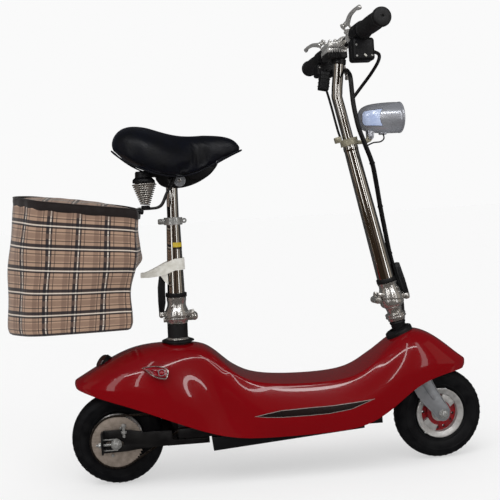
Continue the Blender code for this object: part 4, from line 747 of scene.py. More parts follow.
def check_line(material, along, pitch, offset, width):
    """1 inside a stripe of the check and 0 outside it, along one thread direction."""
    moved = add_node(material, "ShaderNodeMath", {0: along, 1: offset}, operation="ADD")
    wrapped = add_node(material, "ShaderNodeMath", {0: moved.outputs[0], 1: pitch, 2: 0.0}, operation="WRAP")
    away = add_node(material, "ShaderNodeMath", {0: wrapped.outputs[0], 1: pitch / 2}, operation="SUBTRACT")
    size = add_node(material, "ShaderNodeMath", {0: away.outputs[0]}, operation="ABSOLUTE")
    edge = {"Value": size.outputs[0], "From Min": width / 2 - 0.0005, "From Max": width / 2 + 0.0005}
    edge.update({"To Min": 1.0, "To Max": 0.0})
    return add_node(material, "ShaderNodeMapRange", edge).outputs[0]


def check_cloth():
    """Woven cotton check on the bag: bands and lines in both thread directions over a warm ground."""
    sockets = {"Sheen Weight": 0.2, "Sheen Roughness": 0.5, "Specular IOR Level": 0.2, "Roughness": 0.85}
    material, shader = new_finish("woven_cotton_check", sockets)
    look, repeat = colours(), sizes().check_pitch
    where = add_node(material, "ShaderNodeUVMap", uv_map="cloth")
    split = add_node(material, "ShaderNodeSeparateXYZ", {"Vector": where.outputs[0]})
    # Offset, width, colour and strength of each stripe over one repeat
    stripes = (
        (0.0, 0.01, look.cloth_band, 0.48),
        (0.0086, 0.0018, look.cloth_line, 0.8),
        (0.019, 0.0064, look.cloth_line, 0.92),
        (0.0238, 0.0024, look.cloth_pale, 0.8),
        (0.0268, 0.0034, look.cloth_line, 0.92),
        (0.0352, 0.0018, look.cloth_line, 0.75),
    )
    shade_now = (*look.cloth, 1.0)
    for thread, pitch in (("X", repeat * 1.36), ("Y", repeat)):
        for offset, width, colour, strength in stripes:
            line = check_line(material, split.outputs[thread], pitch, offset, width)
            amount = add_node(material, "ShaderNodeMath", {0: line, 1: strength}, operation="MULTIPLY")
            over = {0: amount.outputs[0], 6: shade_now, 7: (*colour, 1.0)}
            shade_now = add_node(material, "ShaderNodeMix", over, data_type="RGBA").outputs[2]
    # Threads are 0.5 mm in the real cloth; drawn 1.4 mm so that the weave shows
    threads = []
    for direction in ("X", "Y"):
        wave = {"Vector": where.outputs[0], "Scale": 230.0, "Distortion": 0.6, "Detail": 1.0}
        wave = add_node(material, "ShaderNodeTexWave", wave, wave_type="BANDS", bands_direction=direction)
        threads.append(wave.outputs["Fac"])
    weave = add_node(material, "ShaderNodeMath", dict(enumerate(threads)), operation="MULTIPLY")
    slub = add_node(material, "ShaderNodeTexNoise", {"Vector": where.outputs[0], "Scale": 60.0, "Detail": 3.0})
    worn = {"Value": slub.outputs["Fac"], "To Min": 0.86, "To Max": 1.08}
    worn = {0: shade_now, "Scale": add_node(material, "ShaderNodeMapRange", worn).outputs[0]}
    toned = add_node(material, "ShaderNodeVectorMath", worn, operation="SCALE")
    bump = {"Height": weave.outputs[0], "Distance": 0.0003, "Strength": 0.5}
    bump = add_node(material, "ShaderNodeBump", bump)
    links = material.node_tree.links
    links.new(toned.outputs[0], shader.inputs["Base Color"])
    links.new(bump.outputs[0], shader.inputs["Normal"])
    return material


MADE = {}


def finish(key):
    """The material of that name, made once."""
    if key not in MADE:
        MADE[key] = check_cloth() if key == "check_cloth" else mixed_finish(*FINISHES[key])
    return MADE[key]


# Body shell and its trim
# Each station: distance ahead of the rear axle, height of the middle, half width and height of the
# top edge, half width of the side, height and half width of the lower lip, and how far the flute
# draws in the side at its upper and its lower row.
SHELL_STATIONS = mm(
    -76, 236, 25, 232, 38, 214.5, 36, 0, 0, -30, 262, 44, 253, 70, 199, 67, 0, 0, 40, 298.5, 53, 284, 86,
    178.5, 83, 0, 0, 115, 301.5, 59, 287, 92, 147, 89, 0, 0, 172, 298, 62, 283.5, 92, 123.5, 88, 13, 3, 206,
    289, 64, 278, 92, 111, 87, 17, 14, 239, 255, 66, 250, 92, 102, 86, 9, 19, 275, 220, 67, 218, 93, 96, 86, 1,
    8, 335, 202, 67, 200.5, 93, 93, 85, 0, 0, 480, 199, 67, 197.5, 92, 94.3, 84, 0, 0, 538, 215, 66, 213, 90,
    103.5, 83, 0, 0, 590, 260, 59, 255, 85, 131, 80, 0, 0, 645, 302, 50, 293.5, 76, 176, 74, 0, 0, 700, 284,
    41, 274, 64, 194, 62, 0, 0, 758, 230, 19, 227, 32, 198, 30, 0, 0, per=9
)
TAIL_TIP = mm(-87, 230, -89, 227, -90, 223, -89, 219, -86, 215)
NOSE_TIP = mm(781, 214, 783, 211, 783, 206, 781, 202, 776, 198)


def shell_row(station):
    x, z_mid, edge, z_edge, side, z_low, low, flute_high, flute_low = station
    fall = z_edge - z_low
    return (
        (x, 0.0, z_mid),
        (x, 0.55 * edge, z_mid - 0.25 * (z_mid - z_edge)),
        (x, edge, z_edge),
        (x, edge + 0.8 * (side - edge) - flute_high, z_edge - 0.34 * fall),
        (x, side - flute_low, z_edge - 0.66 * fall),
        (x, low, z_low),
    )


def tip_row(tip):
    places = [(x, 0.0, z) for x, z in tip]
    return [places[0], *places]


def shell_skin():
    """Outer skin of the body from a shaped grid, mirrored and smoothed."""
    rows = [tip_row(TAIL_TIP), *map(shell_row, SHELL_STATIONS), tip_row(NOSE_TIP)]
    skin, stations = grid("body_moulding", 16, 5, lambda column, row: rows[column][row])
    edges = skin.data.attributes.new("crease_edge", "FLOAT", "EDGE")
    for edge in skin.data.edges:
        (a, row_a), (b, row_b) = (stations[v] for v in edge.vertices)
        if row_a == row_b == 2 and 7 <= min(a, b) and max(a, b) <= 12:
            edges.data[edge.index].value = 0.6
    mend(0.00001)
    top = max(skin.data.polygons, key=lambda face: face.center.z)
    if top.normal.z < 0:
        skin.data.flip_normals()
    modify(skin, "MIRROR", use_axis=(False, True, False), merge_threshold=0.0001)
    return modify(skin, "SUBSURF", levels=3, render_levels=3)


SPEAR_TOP = mm(293, 141.5, 320, 146.5, 350, 151, 410, 152.5, 460, 153, 512, 156.5, 552, 160)
SPEAR_LOW = mm(293, 141.5, 320, 137.8, 350, 136, 410, 135.5, 454, 136.5, 500, 142, 552, 160)


def height_at(line, x):
    for (x0, z0), (x1, z1) in zip(line, line[1:]):
        if x0 <= x <= x1:
            return z0 + (z1 - z0) * (x - x0) / (x1 - x0)
    return line[-1][1]


def spear(name, side, shrink, proud, skin, material):
    """Pointed stripe printed on the side, laid on the skin."""
    x_low, x_high = 0.293 + 4.0 * shrink, 0.552 - 4.0 * shrink

    def place(column, row):
        x = x_low + column / 48 * (x_high - x_low)
        top, low = height_at(SPEAR_TOP, x), height_at(SPEAR_LOW, x)
        half = max((top - low) / 2 - shrink, 0.00004)
        return (x, side * 0.2, (top + low) / 2 + (row / 2 - 1) * half)

    film, _ = grid(name, 48, 4, place)
    lay_on(film, skin, side, proud)
    bpy.ops.object.mode_set(mode="EDIT")
    bpy.ops.mesh.select_all(action="SELECT")
    bpy.ops.mesh.remove_doubles(threshold=0.00002)
    bpy.ops.object.mode_set(mode="OBJECT")
    if film.data.polygons[0].normal.y * side < 0:
        film.data.flip_normals()
    modify(film, "SOLIDIFY", thickness=0.0003, offset=-1.0)
    return complete(film, "chassis", None, material)


def teardrop(length, width, grow=0.0):
    """Outline of a side lamp: a round end in front and a drawn-out tip behind."""
    r = width / 2 + grow
    knots = [(length / 2 + grow, 0.0), (length / 2 - r * 0.4, r * 0.86), (0.0, r), (-length * 0.28, r * 0.66)]
    knots += [(-length / 2 - grow * 1.5, width * 0.14), (-length * 0.3, -r * 0.1), (0.0, -r * 0.8)]
    knots += [(length / 2 - r * 0.4, -r * 0.86)]
    return smooth_outline(knots, 5)


def side_lamp_place(side):
    """Matrix that lays a flat outline on the wall of the body."""
    tilt = math.radians(24.0)
    lean = Matrix.Rotation(math.pi / 2 + side * tilt, 4, "X")
    pitch = Matrix.Rotation(math.radians(-14.0), 4, "Z")
    outward = Vector((0.0, math.cos(tilt) * side, math.sin(tilt)))
    return Matrix.Translation(Vector((0.092, 0.083 * side, 0.25)) + outward * 0.0005) @ lean @ pitch


def side_lamp(name, side):
    """Reflector lamp: chromed surround, domed ruby lens and a small round bulb cover in its head."""
    surround = paint(plate("surround", [teardrop(0.056, 0.0255)], 0.007, 0.0008), "chrome_wire")
    # A thin ring of smoked acrylic round the lens, a little larger than it: painted shadow where the lens sits
    # inside the surround
    shadow_line = paint(plate("line", [teardrop(0.0535, 0.0232)], 0.0078, 0.0004), "smoked_lens")
    lens = paint(plate("lens", [teardrop(0.051, 0.0208)], 0.009, 0.0014), "red_lens")
    cover_profile = mm(0, 0, 6.2, 0, 6.2, 4.8, 5, 6.2, 2.6, 7, 0, 7.2)
    cover = paint(lathe("cover", cover_profile, (0.014, 0.0005, 0.0), steps=32), "red_lens")
    ring_profile = mm(6.2, 0, 7.4, 0, 7.4, 5.2, 6.8, 5.8, 6.2, 5.2)
    ring = paint(lathe("ring", ring_profile, (0.014, 0.0005, 0.0), steps=32), "lamp_lacquer")
    for part in (cover, ring):
        if side > 0:
            part.data.transform(Matrix.Scale(-1, 4, (0, 0, 1)))
            part.data.flip_normals()
    lamp = joined(name, [surround, shadow_line, lens, cover, ring])
    lamp.data.transform(side_lamp_place(side))
    node = "right_side_lamp" if side < 0 else "left_side_lamp"
    complete(lamp, "chassis", node)


def tail_lamp():
    """Round smoked lamp with a ribbed rubber skirt on the tail."""
    up = Vector((-0.8, 0.0, 0.6))
    skirt = [(0.0, -0.022), (0.02, -0.022), (0.0206, -0.008)]
    for i in range(4):
        z = -0.0075 + 0.0022 * i
        skirt += [(0.0206, z), (0.0194, z + 0.0007), (0.0194, z + 0.0015), (0.0206, z + 0.0022)]
    skirt += mm(19.8, 2.4, 18.4, 3.6, 18, 2, 0, 2)
    base = paint(lathe("tail_skirt", skirt, (-0.021, 0.0, 0.264), up, 48), "black_abs")
    dome = mm(0, 1.5, 18.2, 1.5, 18, 4, 16.6, 7, 13.8, 9.8, 9.5, 11.7, 4.8, 12.6, 0, 12.9)
    glass = paint(lathe("tail_glass", dome, (-0.021, 0.0, 0.264), up, 48), "smoked_lens")
    complete(joined("smoked_tail_lamp", [base, glass]), "chassis", "tail_lamp")


def seals():
    """Rubber rings where the post and the column enter the body."""
    ring = mm(
        25.6, 305, 27.5, 305.8, 29, 304.8, 33, 303.8, 35, 302.5, 35.2, 301, 27.9, 301, 27.9, 292, 25.6, 292
    )
    complete(on_post("post_seal", ring), "chassis", "seat_gasket", "seal_rubber")
    sleeve = mm(13.4, 311.5, 16.8, 311.5, 17.8, 308, 16, 304, 15, 280, 13.4, 280)
    gasket = on_column("head_sleeve", sleeve)
    flange = mm(16.5, 4.8, 23, 4.6, 27.2, 3.8, 29.8, 2, 30.4, -1, 30, -8, 16.5, -8)
    lean = math.radians(22.0)
    lip_up = Vector((-math.sin(lean), 0.0, math.cos(lean)))
    lip = lathe("head_lip", flange, (axis_point(0.303).x, 0.0, 0.2893), lip_up)
    complete(joined("head_seal", [gasket, lip]), "chassis", "head_gasket", "seal_rubber")


class SCOOTER_OT_body(bpy.types.Operator):
    """Moulded body shell with its holes"""

    bl_idname = "scooter.body"
    bl_label = "Body shell"

    def execute(self, context):
        skin = modify(shell_skin(), "SOLIDIFY", thickness=0.003, offset=-1.0)
        seat_hole = bar("seat_hole", 0.0282, post_point(0.262), post_point(0.33))
        head_hole = bar("head_hole", 0.024, axis_point(0.24), axis_point(0.34))
        cut(skin, seat_hole, head_hole)
        complete(skin, "chassis", "body_shell", "moulded_red_abs", smooth=45)
        return {"FINISHED"}


class SCOOTER_OT_body_trim(bpy.types.Operator):
    """Side stripes, lamps and seals on the body"""

    bl_idname = "scooter.body_trim"
    bl_label = "Body trim"

    def execute(self, context):
        skin = shell_skin()
        for word, side in (("right", -1), ("left", 1)):
            spear(f"{word}_stripe_rim", side, 0.0, 0.0004, skin, "transfer_silver")
            spear(f"{word}_stripe", side, 0.0012, 0.0007, skin, "transfer_black")
            side_lamp(f"{word}_reflector_lamp", side)
        bpy.data.objects.remove(skin, do_unlink=True)
        tail_lamp()
        seals()
        return {"FINISHED"}


# Frame, tray and drive


# Node, name of the piece, rounding of its edges, slot and finish
FRAME_PIECES = (
    ("main_frame", "welded_frame", 0.0008, "black_paint", "black_enamel"),
    ("rear_fork", "rear_arms", 0.0006, "black_paint", "black_enamel"),
    ("battery_tray", "battery_cradle", 0.0012, "black_plastic", "black_abs"),
    ("battery_pack", "battery_case", 0.0015, "black_plastic", "black_abs"),
    ("controller", "finned_controller", 0.0005, "cast_alloy", "cast_aluminium"),
)


def axle_set(name, x, z, half, nut_from, body, node, extra=()):
    """Threaded axle with washers and hexagon nuts."""
    parts = [bar("shaft", 0.005, (x, -half, z), (x, half, z), 24, 0.0008)]
    for s in (-1, 1):
        parts.append(bar("washer", 0.0108, (x, s * nut_from, z), (x, s * (nut_from + 0.0014), z), 32, 0.0003))
        parts.append(hex_nut("nut", 0.016, (x, s * (nut_from + 0.0014), z), (x, s * (nut_from + 0.0068), z)))
        for i in range(6):
            y = s * (nut_from + 0.009 + 0.0007 * i)
            if abs(y) < half - 0.0005:
                ring = [(0.0045, -0.0003), (0.0052, 0.0), (0.0045, 0.0003)]
                parts.append(lathe("thread", ring, (x, y, z), (0, 1, 0), 24))
    axle = paint(joined(name, parts), "zinc_plate")
    complete(joined(name, [axle, *extra]), body, node)


def adjusters():
    """Eye bolts that draw the rear axle back: ring, shank and nut on each side."""
    parts = []
    for s in (-1, 1):
        y = s * 0.064
        eye = mm(5.8, -2.5, 10.8, -2.5, 11.5, -1.6, 11.5, 1.6, 10.8, 2.5, 5.8, 2.5)
        parts.append(lathe("eye", eye, (0.0, y, 0.1), (0, 1, 0), 40))
        parts.append(bar("shank", 0.0027, (-0.009, y, 0.1), (-0.042, y, 0.1), 16))
        for i in range(12):
            ring = [(0.0024, -0.0003), (0.003, 0.0), (0.0024, 0.0003)]
            parts.append(lathe("shank_thread", ring, (-0.03 - 0.0009 * i, y, 0.1), (1, 0, 0), 12))
        parts.append(hex_nut("shank_nut", 0.0105, (-0.0312, y, 0.1), (-0.0366, y, 0.1), 0.0024))
        for z in (0.0885, 0.1115):
            parts.append(block("stirrup", (0.033, 0.0014, 0.0026), (-0.0135, s * 0.0667, z), 0.0, 0.0004))
        parts.append(block("stirrup_end", (0.0026, 0.0014, 0.0256), (-0.029, s * 0.0667, 0.1), 0.0, 0.0004))
        top_bolt = Vector((0.017, s * 0.06, 0.112))
        parts += [
            bar("top_bolt", 0.0032, top_bolt, top_bolt + Vector((0, 0, 0.029)), 20, 0.0008),
            hex_nut("top_bolt_nut", 0.011, top_bolt + Vector((0, 0, 0.009)), top_bolt + Vector((0, 0, 0.014))),
            hex_nut("top_bolt_head", 0.01, top_bolt + Vector((0, 0, 0.023)), top_bolt + Vector((0, 0, 0.0285))),
        ]
    return paint(joined("adjusters", parts), "zinc_plate")


def drive_motor():
    body = mm(
        0, 82, 36, 82, 40, 78, 40, 70, 43, 69, 43, 10, 40, 9, 40, 0, 12, 0, 12, -5.5, 5.2, -5.5, 5.2, 0.5,
        0, 0.5
    )
    case = lathe("motor_case", body, (MOTOR_X, -0.032, MOTOR_Z), (0, 1, 0), 64, 0.0006)
    ribs = []
    for i in range(10):
        angle = 2 * math.pi * i / 10
        at = Vector((MOTOR_X + 0.0405 * math.cos(angle), 0.035, MOTOR_Z + 0.0405 * math.sin(angle)))
        ribs.append(bar("through_bolt", 0.0016, at, at + Vector((0, 0.015, 0)), 10))
    foot = block("motor_foot", (0.06, 0.06, 0.012), (MOTOR_X, 0.01, 0.0964), 0.0, 0.0012)
    case = paint(joined("drive_motor", [case, foot, *ribs]), "black_enamel")
    complete(case, "chassis", "motor")


def pitch_radius(teeth):
    return CHAIN_PITCH / (2 * math.sin(math.pi / teeth))


def sprocket(name, teeth, x, z, bore):
    """Toothed plate: round-bottomed gaps for the rollers between pointed teeth."""
    r = pitch_radius(teeth)
    outline = []
    for i in range(teeth):
        for part, rise in zip((-0.16, 0.0, 0.16, 0.42, 0.58), (-0.0015, -0.0017, -0.0015, 0.0014, 0.0014)):
            angle = 2 * math.pi * (i + part) / teeth
            outline.append(((r + rise) * math.cos(angle), (r + rise) * math.sin(angle)))
    disc = side_plate(name, [outline, arc(0.0, 0.0, bore, 0, 345, 24)], -0.0015, 0.0015, 0.0003)
    return shifted(disc, x, CHAIN_Y, z)


def chain_stops():
    """Evenly spaced places and headings of the links round both sprockets."""
    big, small = pitch_radius(55), pitch_radius(11)
    line = math.atan2(MOTOR_Z - REAR_Z, MOTOR_X)
    span = math.hypot(MOTOR_X, MOTOR_Z - REAR_Z)
    open_angle = math.acos((big - small) / span)
    fine = []
    for i in range(241):
        a = line + open_angle + (2 * math.pi - 2 * open_angle) * i / 240
        fine.append(Vector((big * math.cos(a), CHAIN_Y, REAR_Z + big * math.sin(a))))
    for i in range(61):
        a = line - open_angle + 2 * open_angle * i / 60
        fine.append(Vector((MOTOR_X + small * math.cos(a), CHAIN_Y, MOTOR_Z + small * math.sin(a))))
    fine.append(fine[0])
    total = sum((b - a).length for a, b in zip(fine, fine[1:]))
    count = round(total / CHAIN_PITCH)
    step, walked, target, stops = total / count, 0.0, 0.0, []
    for a, b in zip(fine, fine[1:]):
        size = (b - a).length
        while target <= walked + size and len(stops) < count:
            stops.append(a.lerp(b, (target - walked) / size))
            target += step
        walked += size
    return stops


def link_plates(distance):
    """Both side plates of a link, waisted between its pins."""
    outline = arc(-CHAIN_PITCH / 2, 0.0, 0.0023, 110, 250, 5) + [(0.0, -0.0018)]
    outline += arc(CHAIN_PITCH / 2, 0.0, 0.0023, -70, 70, 5) + [(0.0, 0.0018)]
    middles = (distance, -distance)
    return joined("link", [side_plate("plate", [outline], y - 0.0003, y + 0.0003, 0.0001) for y in middles])


def roller_chain():
    """Links of side plates, pins and rollers, one after another round both sprockets."""
    outer, inner = link_plates(0.0028), link_plates(0.002)
    roller = bar("roller", 0.0017, (0.0, -0.0036, 0.0), (0.0, 0.0036, 0.0), 8, 0.0002)
    stops = chain_stops()
    places = {"outer": [], "inner": [], "pin": []}
    for i, (a, b) in enumerate(zip(stops, stops[1:] + stops[:1])):
        heading = math.atan2((b - a).z, (b - a).x)
        turn = Matrix.Rotation(-heading, 4, "Y")
        places["outer" if i % 2 else "inner"].append(Matrix.Translation((a + b) / 2) @ turn)
        places["pin"].append(Matrix.Translation(a) @ turn)
    parts = [copies(outer, places["outer"]), copies(inner, places["inner"]), copies(roller, places["pin"])]
    chain = paint(joined("roller_chain", parts), "oiled_steel")
    complete(chain, "chassis", "chain")


def sprockets():
    bolts = []
    for i in range(4):
        a = math.radians(70 + 90 * i)
        cx, cz = 0.03 * math.cos(a), REAR_Z + 0.03 * math.sin(a)
        bolts.append(hex_nut("disc_bolt", 0.0062, (cx, -0.0453, cz), (cx, -0.0478, cz)))
    disc = paint(sprocket("wheel_sprocket_disc", 55, 0.0, REAR_Z, 0.0056), "punched_steel")
    lip = mm(20, -0.6, 23.5, -0.6, 23.5, -1.6, 20, -1.6)
    ring = lathe("disc_step", lip, (0.0, CHAIN_Y - 0.0004, REAR_Z), (0, 1, 0), 48)
    paint(ring, "punched_steel")
    bolts = paint(joined("disc_bolts", bolts), "zinc_plate")
    complete(joined("wheel_sprocket", [disc, ring, bolts]), "rear_wheel", "rear_sprocket")
    pinion = sprocket("pinion", 11, MOTOR_X, MOTOR_Z, 0.003)
    shaft = bar("pinion_shaft", 0.0042, (MOTOR_X, -0.05, MOTOR_Z), (MOTOR_X, -0.006, MOTOR_Z), 24, 0.0006)
    pinion = paint(joined("motor_pinion", [pinion, shaft]), "oiled_steel")
    complete(pinion, "rotor", "motor_sprocket")


def drum_band():
    """Brake band round the drum with its lining, lever arm and anchor."""
    ring = mm(37.4, 36.5, 39.2, 36.5, 39.2, 23.5, 37.4, 23.5)
    band = round_axle("band", ring, 0.0, REAR_Z, 64, 0.0003)
    lining_profile = mm(36.2, 35.8, 37.4, 35.8, 37.4, 24.2, 36.2, 24.2)
    lining = round_axle("lining", lining_profile, 0.0, REAR_Z, 64)
    arm = block("band_arm", (0.03, 0.011, 0.01), (0.05, 0.03, 0.1), 0.0, 0.0012)
    anchor = block("band_anchor", (0.01, 0.028, 0.024), (0.06, 0.0405, 0.1), 0.0, 0.0012)
    paint(lining, "seal_rubber")
    steel = paint(joined("drum_band", [band, arm, anchor]), "black_enamel")
    complete(joined("drum_band", [steel, lining]), "chassis", "brake_band")


class SCOOTER_OT_chassis(bpy.types.Operator):
    """Welded frame, battery tray and motor under the body"""

    bl_idname = "scooter.chassis"
    bl_label = "Frame, tray and motor"

    def execute(self, context):
        for node, name, edge, slot, look in FRAME_PIECES:
            complete(refined(node, name, edge), "chassis", node, look, True)
        drive_motor()
        drum_band()
        axle_set("rear_axle_set", 0.0, REAR_Z, 0.08, 0.066, "chassis", "rear_axle", [adjusters()])
        return {"FINISHED"}


class SCOOTER_OT_drive(bpy.types.Operator):
    """Chain and sprockets"""

    bl_idname = "scooter.drive"
    bl_label = "Chain drive"

    def execute(self, context):
        sprockets()
        roller_chain()
        return {"FINISHED"}


# Wheels and fork


def tyre(name, x, z, body, node):
    """Pneumatic tyre: waxed walls with two rings, three tread grooves and angled shoulder lugs."""
    half = mm(
        55.6, 15, 57.5, 17.2, 60, 18.8, 60.6, 19.7, 62.2, 20, 63, 19.6, 65, 20.8, 70, 22.4, 75, 23.2,
        80, 23.3, 80.8, 23.9, 82.4, 23.7, 83.2, 22.9, 87, 21.8, 90.5, 20.2, 93.5, 18, 95.8, 15.2,
        97.4, 12.2, 98.4, 9.4, 98, 8, 97.5, 7.4, 97.5, 6.2, 99.1, 5.6, 99.5, 1.6, 98.2, 1
    )
    inner = [(0.093, -0.008), (0.0556, -0.012)]
    profile = mirrored(half) + [(r, y) for r, y in reversed(inner)] + [(r, -y) for r, y in inner]
    carcass = round_axle("carcass", profile, x, z, 96)
    lug = block("lug", (0.0076, 0.0105, 0.0016), (0.0, 0.0, 0.0), 0.0, 0.0004, 1)
    lug.data.transform(Matrix.Rotation(math.radians(-34.0), 4, "X"))
    count = sizes().lugs
    places = []
    for i in range(count):
        for side in (-1, 1):
            angle = 2 * math.pi * (i + (0.5 if side > 0 else 0.0)) / count
            spin = Matrix.Rotation(angle, 4, "Y")
            flip = Matrix.Scale(-1, 4, (0, 1, 0)) if side < 0 else Matrix.Identity(4)
            skew = Matrix.Rotation(math.radians(18.0), 4, "Z")
            out = Matrix.Translation((0.0, 0.0142, 0.0951))
            places.append(Matrix.Translation((x, 0.0, z)) @ spin @ flip @ out @ skew)
    lugs = copies(lug, places)
    tyre_piece = joined(name, [carcass, lugs])
    complete(tyre_piece, body, node, "tyre_rubber")


def wheel(name, x, z, body, node, extra=()):
    """Cast wheel: silver rim and spokes with red hollows between them."""
    silver, red = "cast_aluminium", "red_enamel"
    barrel = mm(
        54.7, 19.5, 54.7, 15, 54, 13.5, 54, -13.5, 54.7, -15, 54.7, -19.5, 53.2, -20.3, 51.2, -20,
        49, -18.8, 44.2, -17.2, 42.2, -15.8, 41.2, -13, 41.2, 13, 42.2, 15.8, 44.2, 17.2, 49, 18.8,
        51.2, 20, 53.2, 20.3
    )
    ring = paint(round_axle("ring", barrel, x, z, 96), silver)
    web = bar("web", 0.0425, (x, -0.006, z), (x, 0.006, z), 64)
    drains = []
    for angle in (150, 175, 265, 290, 325, 350):
        a = math.radians(angle)
        cx, cz = x + 0.0345 * math.cos(a), z + 0.0345 * math.sin(a)
        drains.append(bar("drain", 0.0034, (cx, -0.03, cz), (cx, 0.03, cz), 20))
    paint(cut(web, *drains), red)
    parts = []
    for middle in (50, 230):
        outline = arc(0.0, 0.0, 0.044, middle - 24, middle + 24, 12)
        outline += arc(0.0, 0.0, 0.015, middle + 50, middle - 50, 5)
        spoke = side_plate("spoke", [outline], -0.013, 0.013, 0.0016)
        parts.append(shifted(spoke, x, 0.0, z))
    hub = mm(0, -15, 11.5, -15, 11.8, -21.5, 12.8, -21.5, 13.4, -20.8, 15, -16, 18.8, -15.6, 19.6, -14)
    hub = [(0.0058, -0.0215), *mirrored(hub), (0.0058, 0.0215)]
    hub_piece = round_axle("hub", hub, x, z, 64)
    dish = mirrored(mm(18, 15.2, 26.2, 14.8, 28, 13.2, 28.4, 6))
    dish = paint(round_axle("dish", dish, x, z, 64), red)
    metal = paint(joined("metal", [*parts, hub_piece]), silver)
    complete(joined(name, [ring, web, dish, metal, *extra]), body, node, smooth=28)


def valve(x, z, angle):
    """Tyre valve with its cap, leaning out through the rim."""
    a = math.radians(angle)
    foot = Vector((x + 0.0435 * math.cos(a), -0.01, z + 0.0435 * math.sin(a)))
    out = Vector((-math.cos(a) * 0.25, -1.0, -math.sin(a) * 0.25)).normalized()
    stem = bar("valve_stem", 0.003, foot, foot + out * 0.008, 16)
    cap = bar("valve_cap", 0.0036, foot + out * 0.0075, foot + out * 0.014, 16, 0.0008)
    return paint(joined("valve", [stem, cap]), "seal_rubber")


def drum_and_mount():
    profile = mm(0, 40, 33, 40, 35, 38, 35, 22.5, 20, 20.5, 0, 10)
    drum = round_axle("brake_drum", profile, 0.0, REAR_Z, 64, 0.0004)
    mount = bar("sprocket_mount", 0.024, (0.0, -0.0422, REAR_Z), (0.0, -0.01, REAR_Z), 48, 0.0006)
    return paint(joined("drum_and_mount", [drum, mount]), "cast_aluminium")


def pressed_fork():
    """Steerer, crown and two pressed legs with a raised fold and rolled rims."""
    steerer = on_column("steerer", mm(0, 311.5, 12.7, 311.5, 12.7, 208, 0, 208))
    collar = mm(0, 221.5, 17.5, 221.5, 18.2, 219, 18.2, 212, 17.2, 208, 0, 208)
    race = on_column("crown_race", collar)
    crown_at = axis_point(0.21) + Vector((0.004, 0.0, 0.0))
    crown = block("fork_crown", (0.046, 0.078, 0.006), crown_at, -RAKE, 0.0018, 3)
    parts = [race, crown]
    outline = mm(629, 206.5, 636, 185, 645, 162, 653, 146, 666, 128, 681, 111)
    outline += [(0.692, 0.096)] + arc(WHEELBASE, FRONT_Z, 0.0152, 200, 350, 14)
    outline += mm(724.5, 106, 720, 117, 711, 131, 700, 149, 690, 169, 682, 190, 676, 214)
    fold = mm(
        654, 206, 658, 188, 664, 172, 674, 153, 686, 135.5, 690.5, 134, 691.5, 138.5, 682, 158, 675, 178,
        669, 211
    )
    for s in (-1, 1):
        eye = arc(WHEELBASE, FRONT_Z, 0.0056, 0, 330, 20)
        parts.append(side_plate("leg", [outline, eye], s * 0.033, s * 0.0365, 0.001))
        parts.append(side_plate("ridge", [fold], s * 0.0355, s * 0.0395, 0.0016))
        for line in (outline[:7], outline[-7:]):
            lip = [(x, s * 0.0362, z) for x, z in line]
            parts.append(tube("leg_lip", smooth_path(lip, 3), 0.0014, 2))
        boss = [(WHEELBASE, s * y, FRONT_Z) for y in (0.0335, 0.0368)]
        parts.append(bar("drop_boss", 0.0115, *boss, 40, 0.0006))
    grey = paint(joined("fork_pressings", parts), "pressed_grey_steel")
    paint(steerer, "zinc_plate")
    complete(joined("pressed_fork", [grey, steerer]), "steering", "fork")


class SCOOTER_OT_wheels(bpy.types.Operator):
    """Tyres, rims and the front axle"""

    bl_idname = "scooter.wheels"
    bl_label = "Wheels"

    def execute(self, context):
        tyre("front_pneumatic_tyre", WHEELBASE, FRONT_Z, "front_wheel", "front_tyre")
        tyre("rear_pneumatic_tyre", 0.0, REAR_Z, "rear_wheel", "rear_tyre")
        stem = valve(WHEELBASE, FRONT_Z, 110)
        wheel("front_cast_wheel", WHEELBASE, FRONT_Z, "front_wheel", "front_rim", [stem])
        wheel("rear_cast_wheel", 0.0, REAR_Z, "rear_wheel", "rear_rim", [drum_and_mount()])
        axle_set("front_axle_set", WHEELBASE, FRONT_Z, 0.047, 0.0368, "steering", "front_axle")
        return {"FINISHED"}


class SCOOTER_OT_fork(bpy.types.Operator):
    """Pressed front fork"""

    bl_idname = "scooter.fork"
    bl_label = "Fork"

    def execute(self, context):
        pressed_fork()
        return {"FINISHED"}


# Steering column


def cast_joint(name, body, node, on_axis, profile, keep_above, parts, extra=()):
    """Turned casting cut flat at its joint face, with its ears, pins and bolts."""
    shell = on_axis("shell", profile, 64)
    face = 0.3605 if node.startswith("column") else 0.3531
    # The slab is 60 mm thick; it reaches 0.3 mm past the joint face
    slab_z = face - 0.0297 if keep_above else face + 0.0297
    cut(shell, block("slab", (0.2, 0.2, 0.06), (shell.data.vertices[0].co.x, 0.0, slab_z), 0.0, 0.0))
    round_edges(shell, 0.0006, 2, 50)
    chrome = paint(joined(name, [shell, *parts]), "cast_chrome")
    return complete(joined(name, [chrome, *extra]), body, node, smooth=38)


def joint_base(x, z, web, web_shift, catch, catch_at, catch_edge):
    """Knuckle of a lower casting with its web, the bolt across it and the catch of the latch."""
    parts = [bar("base_knuckle", 0.0078, (x, -0.008, z), (x, 0.008, z), 40)]
    parts.append(block("base_web", web, (x + web_shift, 0.0, z - 0.0045), 0.0, 0.0016))
    for s in (-1, 1):
        parts.append(bar("base_washer", 0.0062, (x, s * 0.017, z), (x, s * 0.018, z), 28, 0.0003))
        parts.append(hex_nut("base_head", 0.01, (x, s * 0.018, z), (x, s * 0.021, z)))
    parts.append(bar("base_pin", 0.0028, (x, -0.017, z), (x, 0.017, z), 24))
    parts.append(block("base_catch", catch, catch_at, 0.0, catch_edge))
    return parts


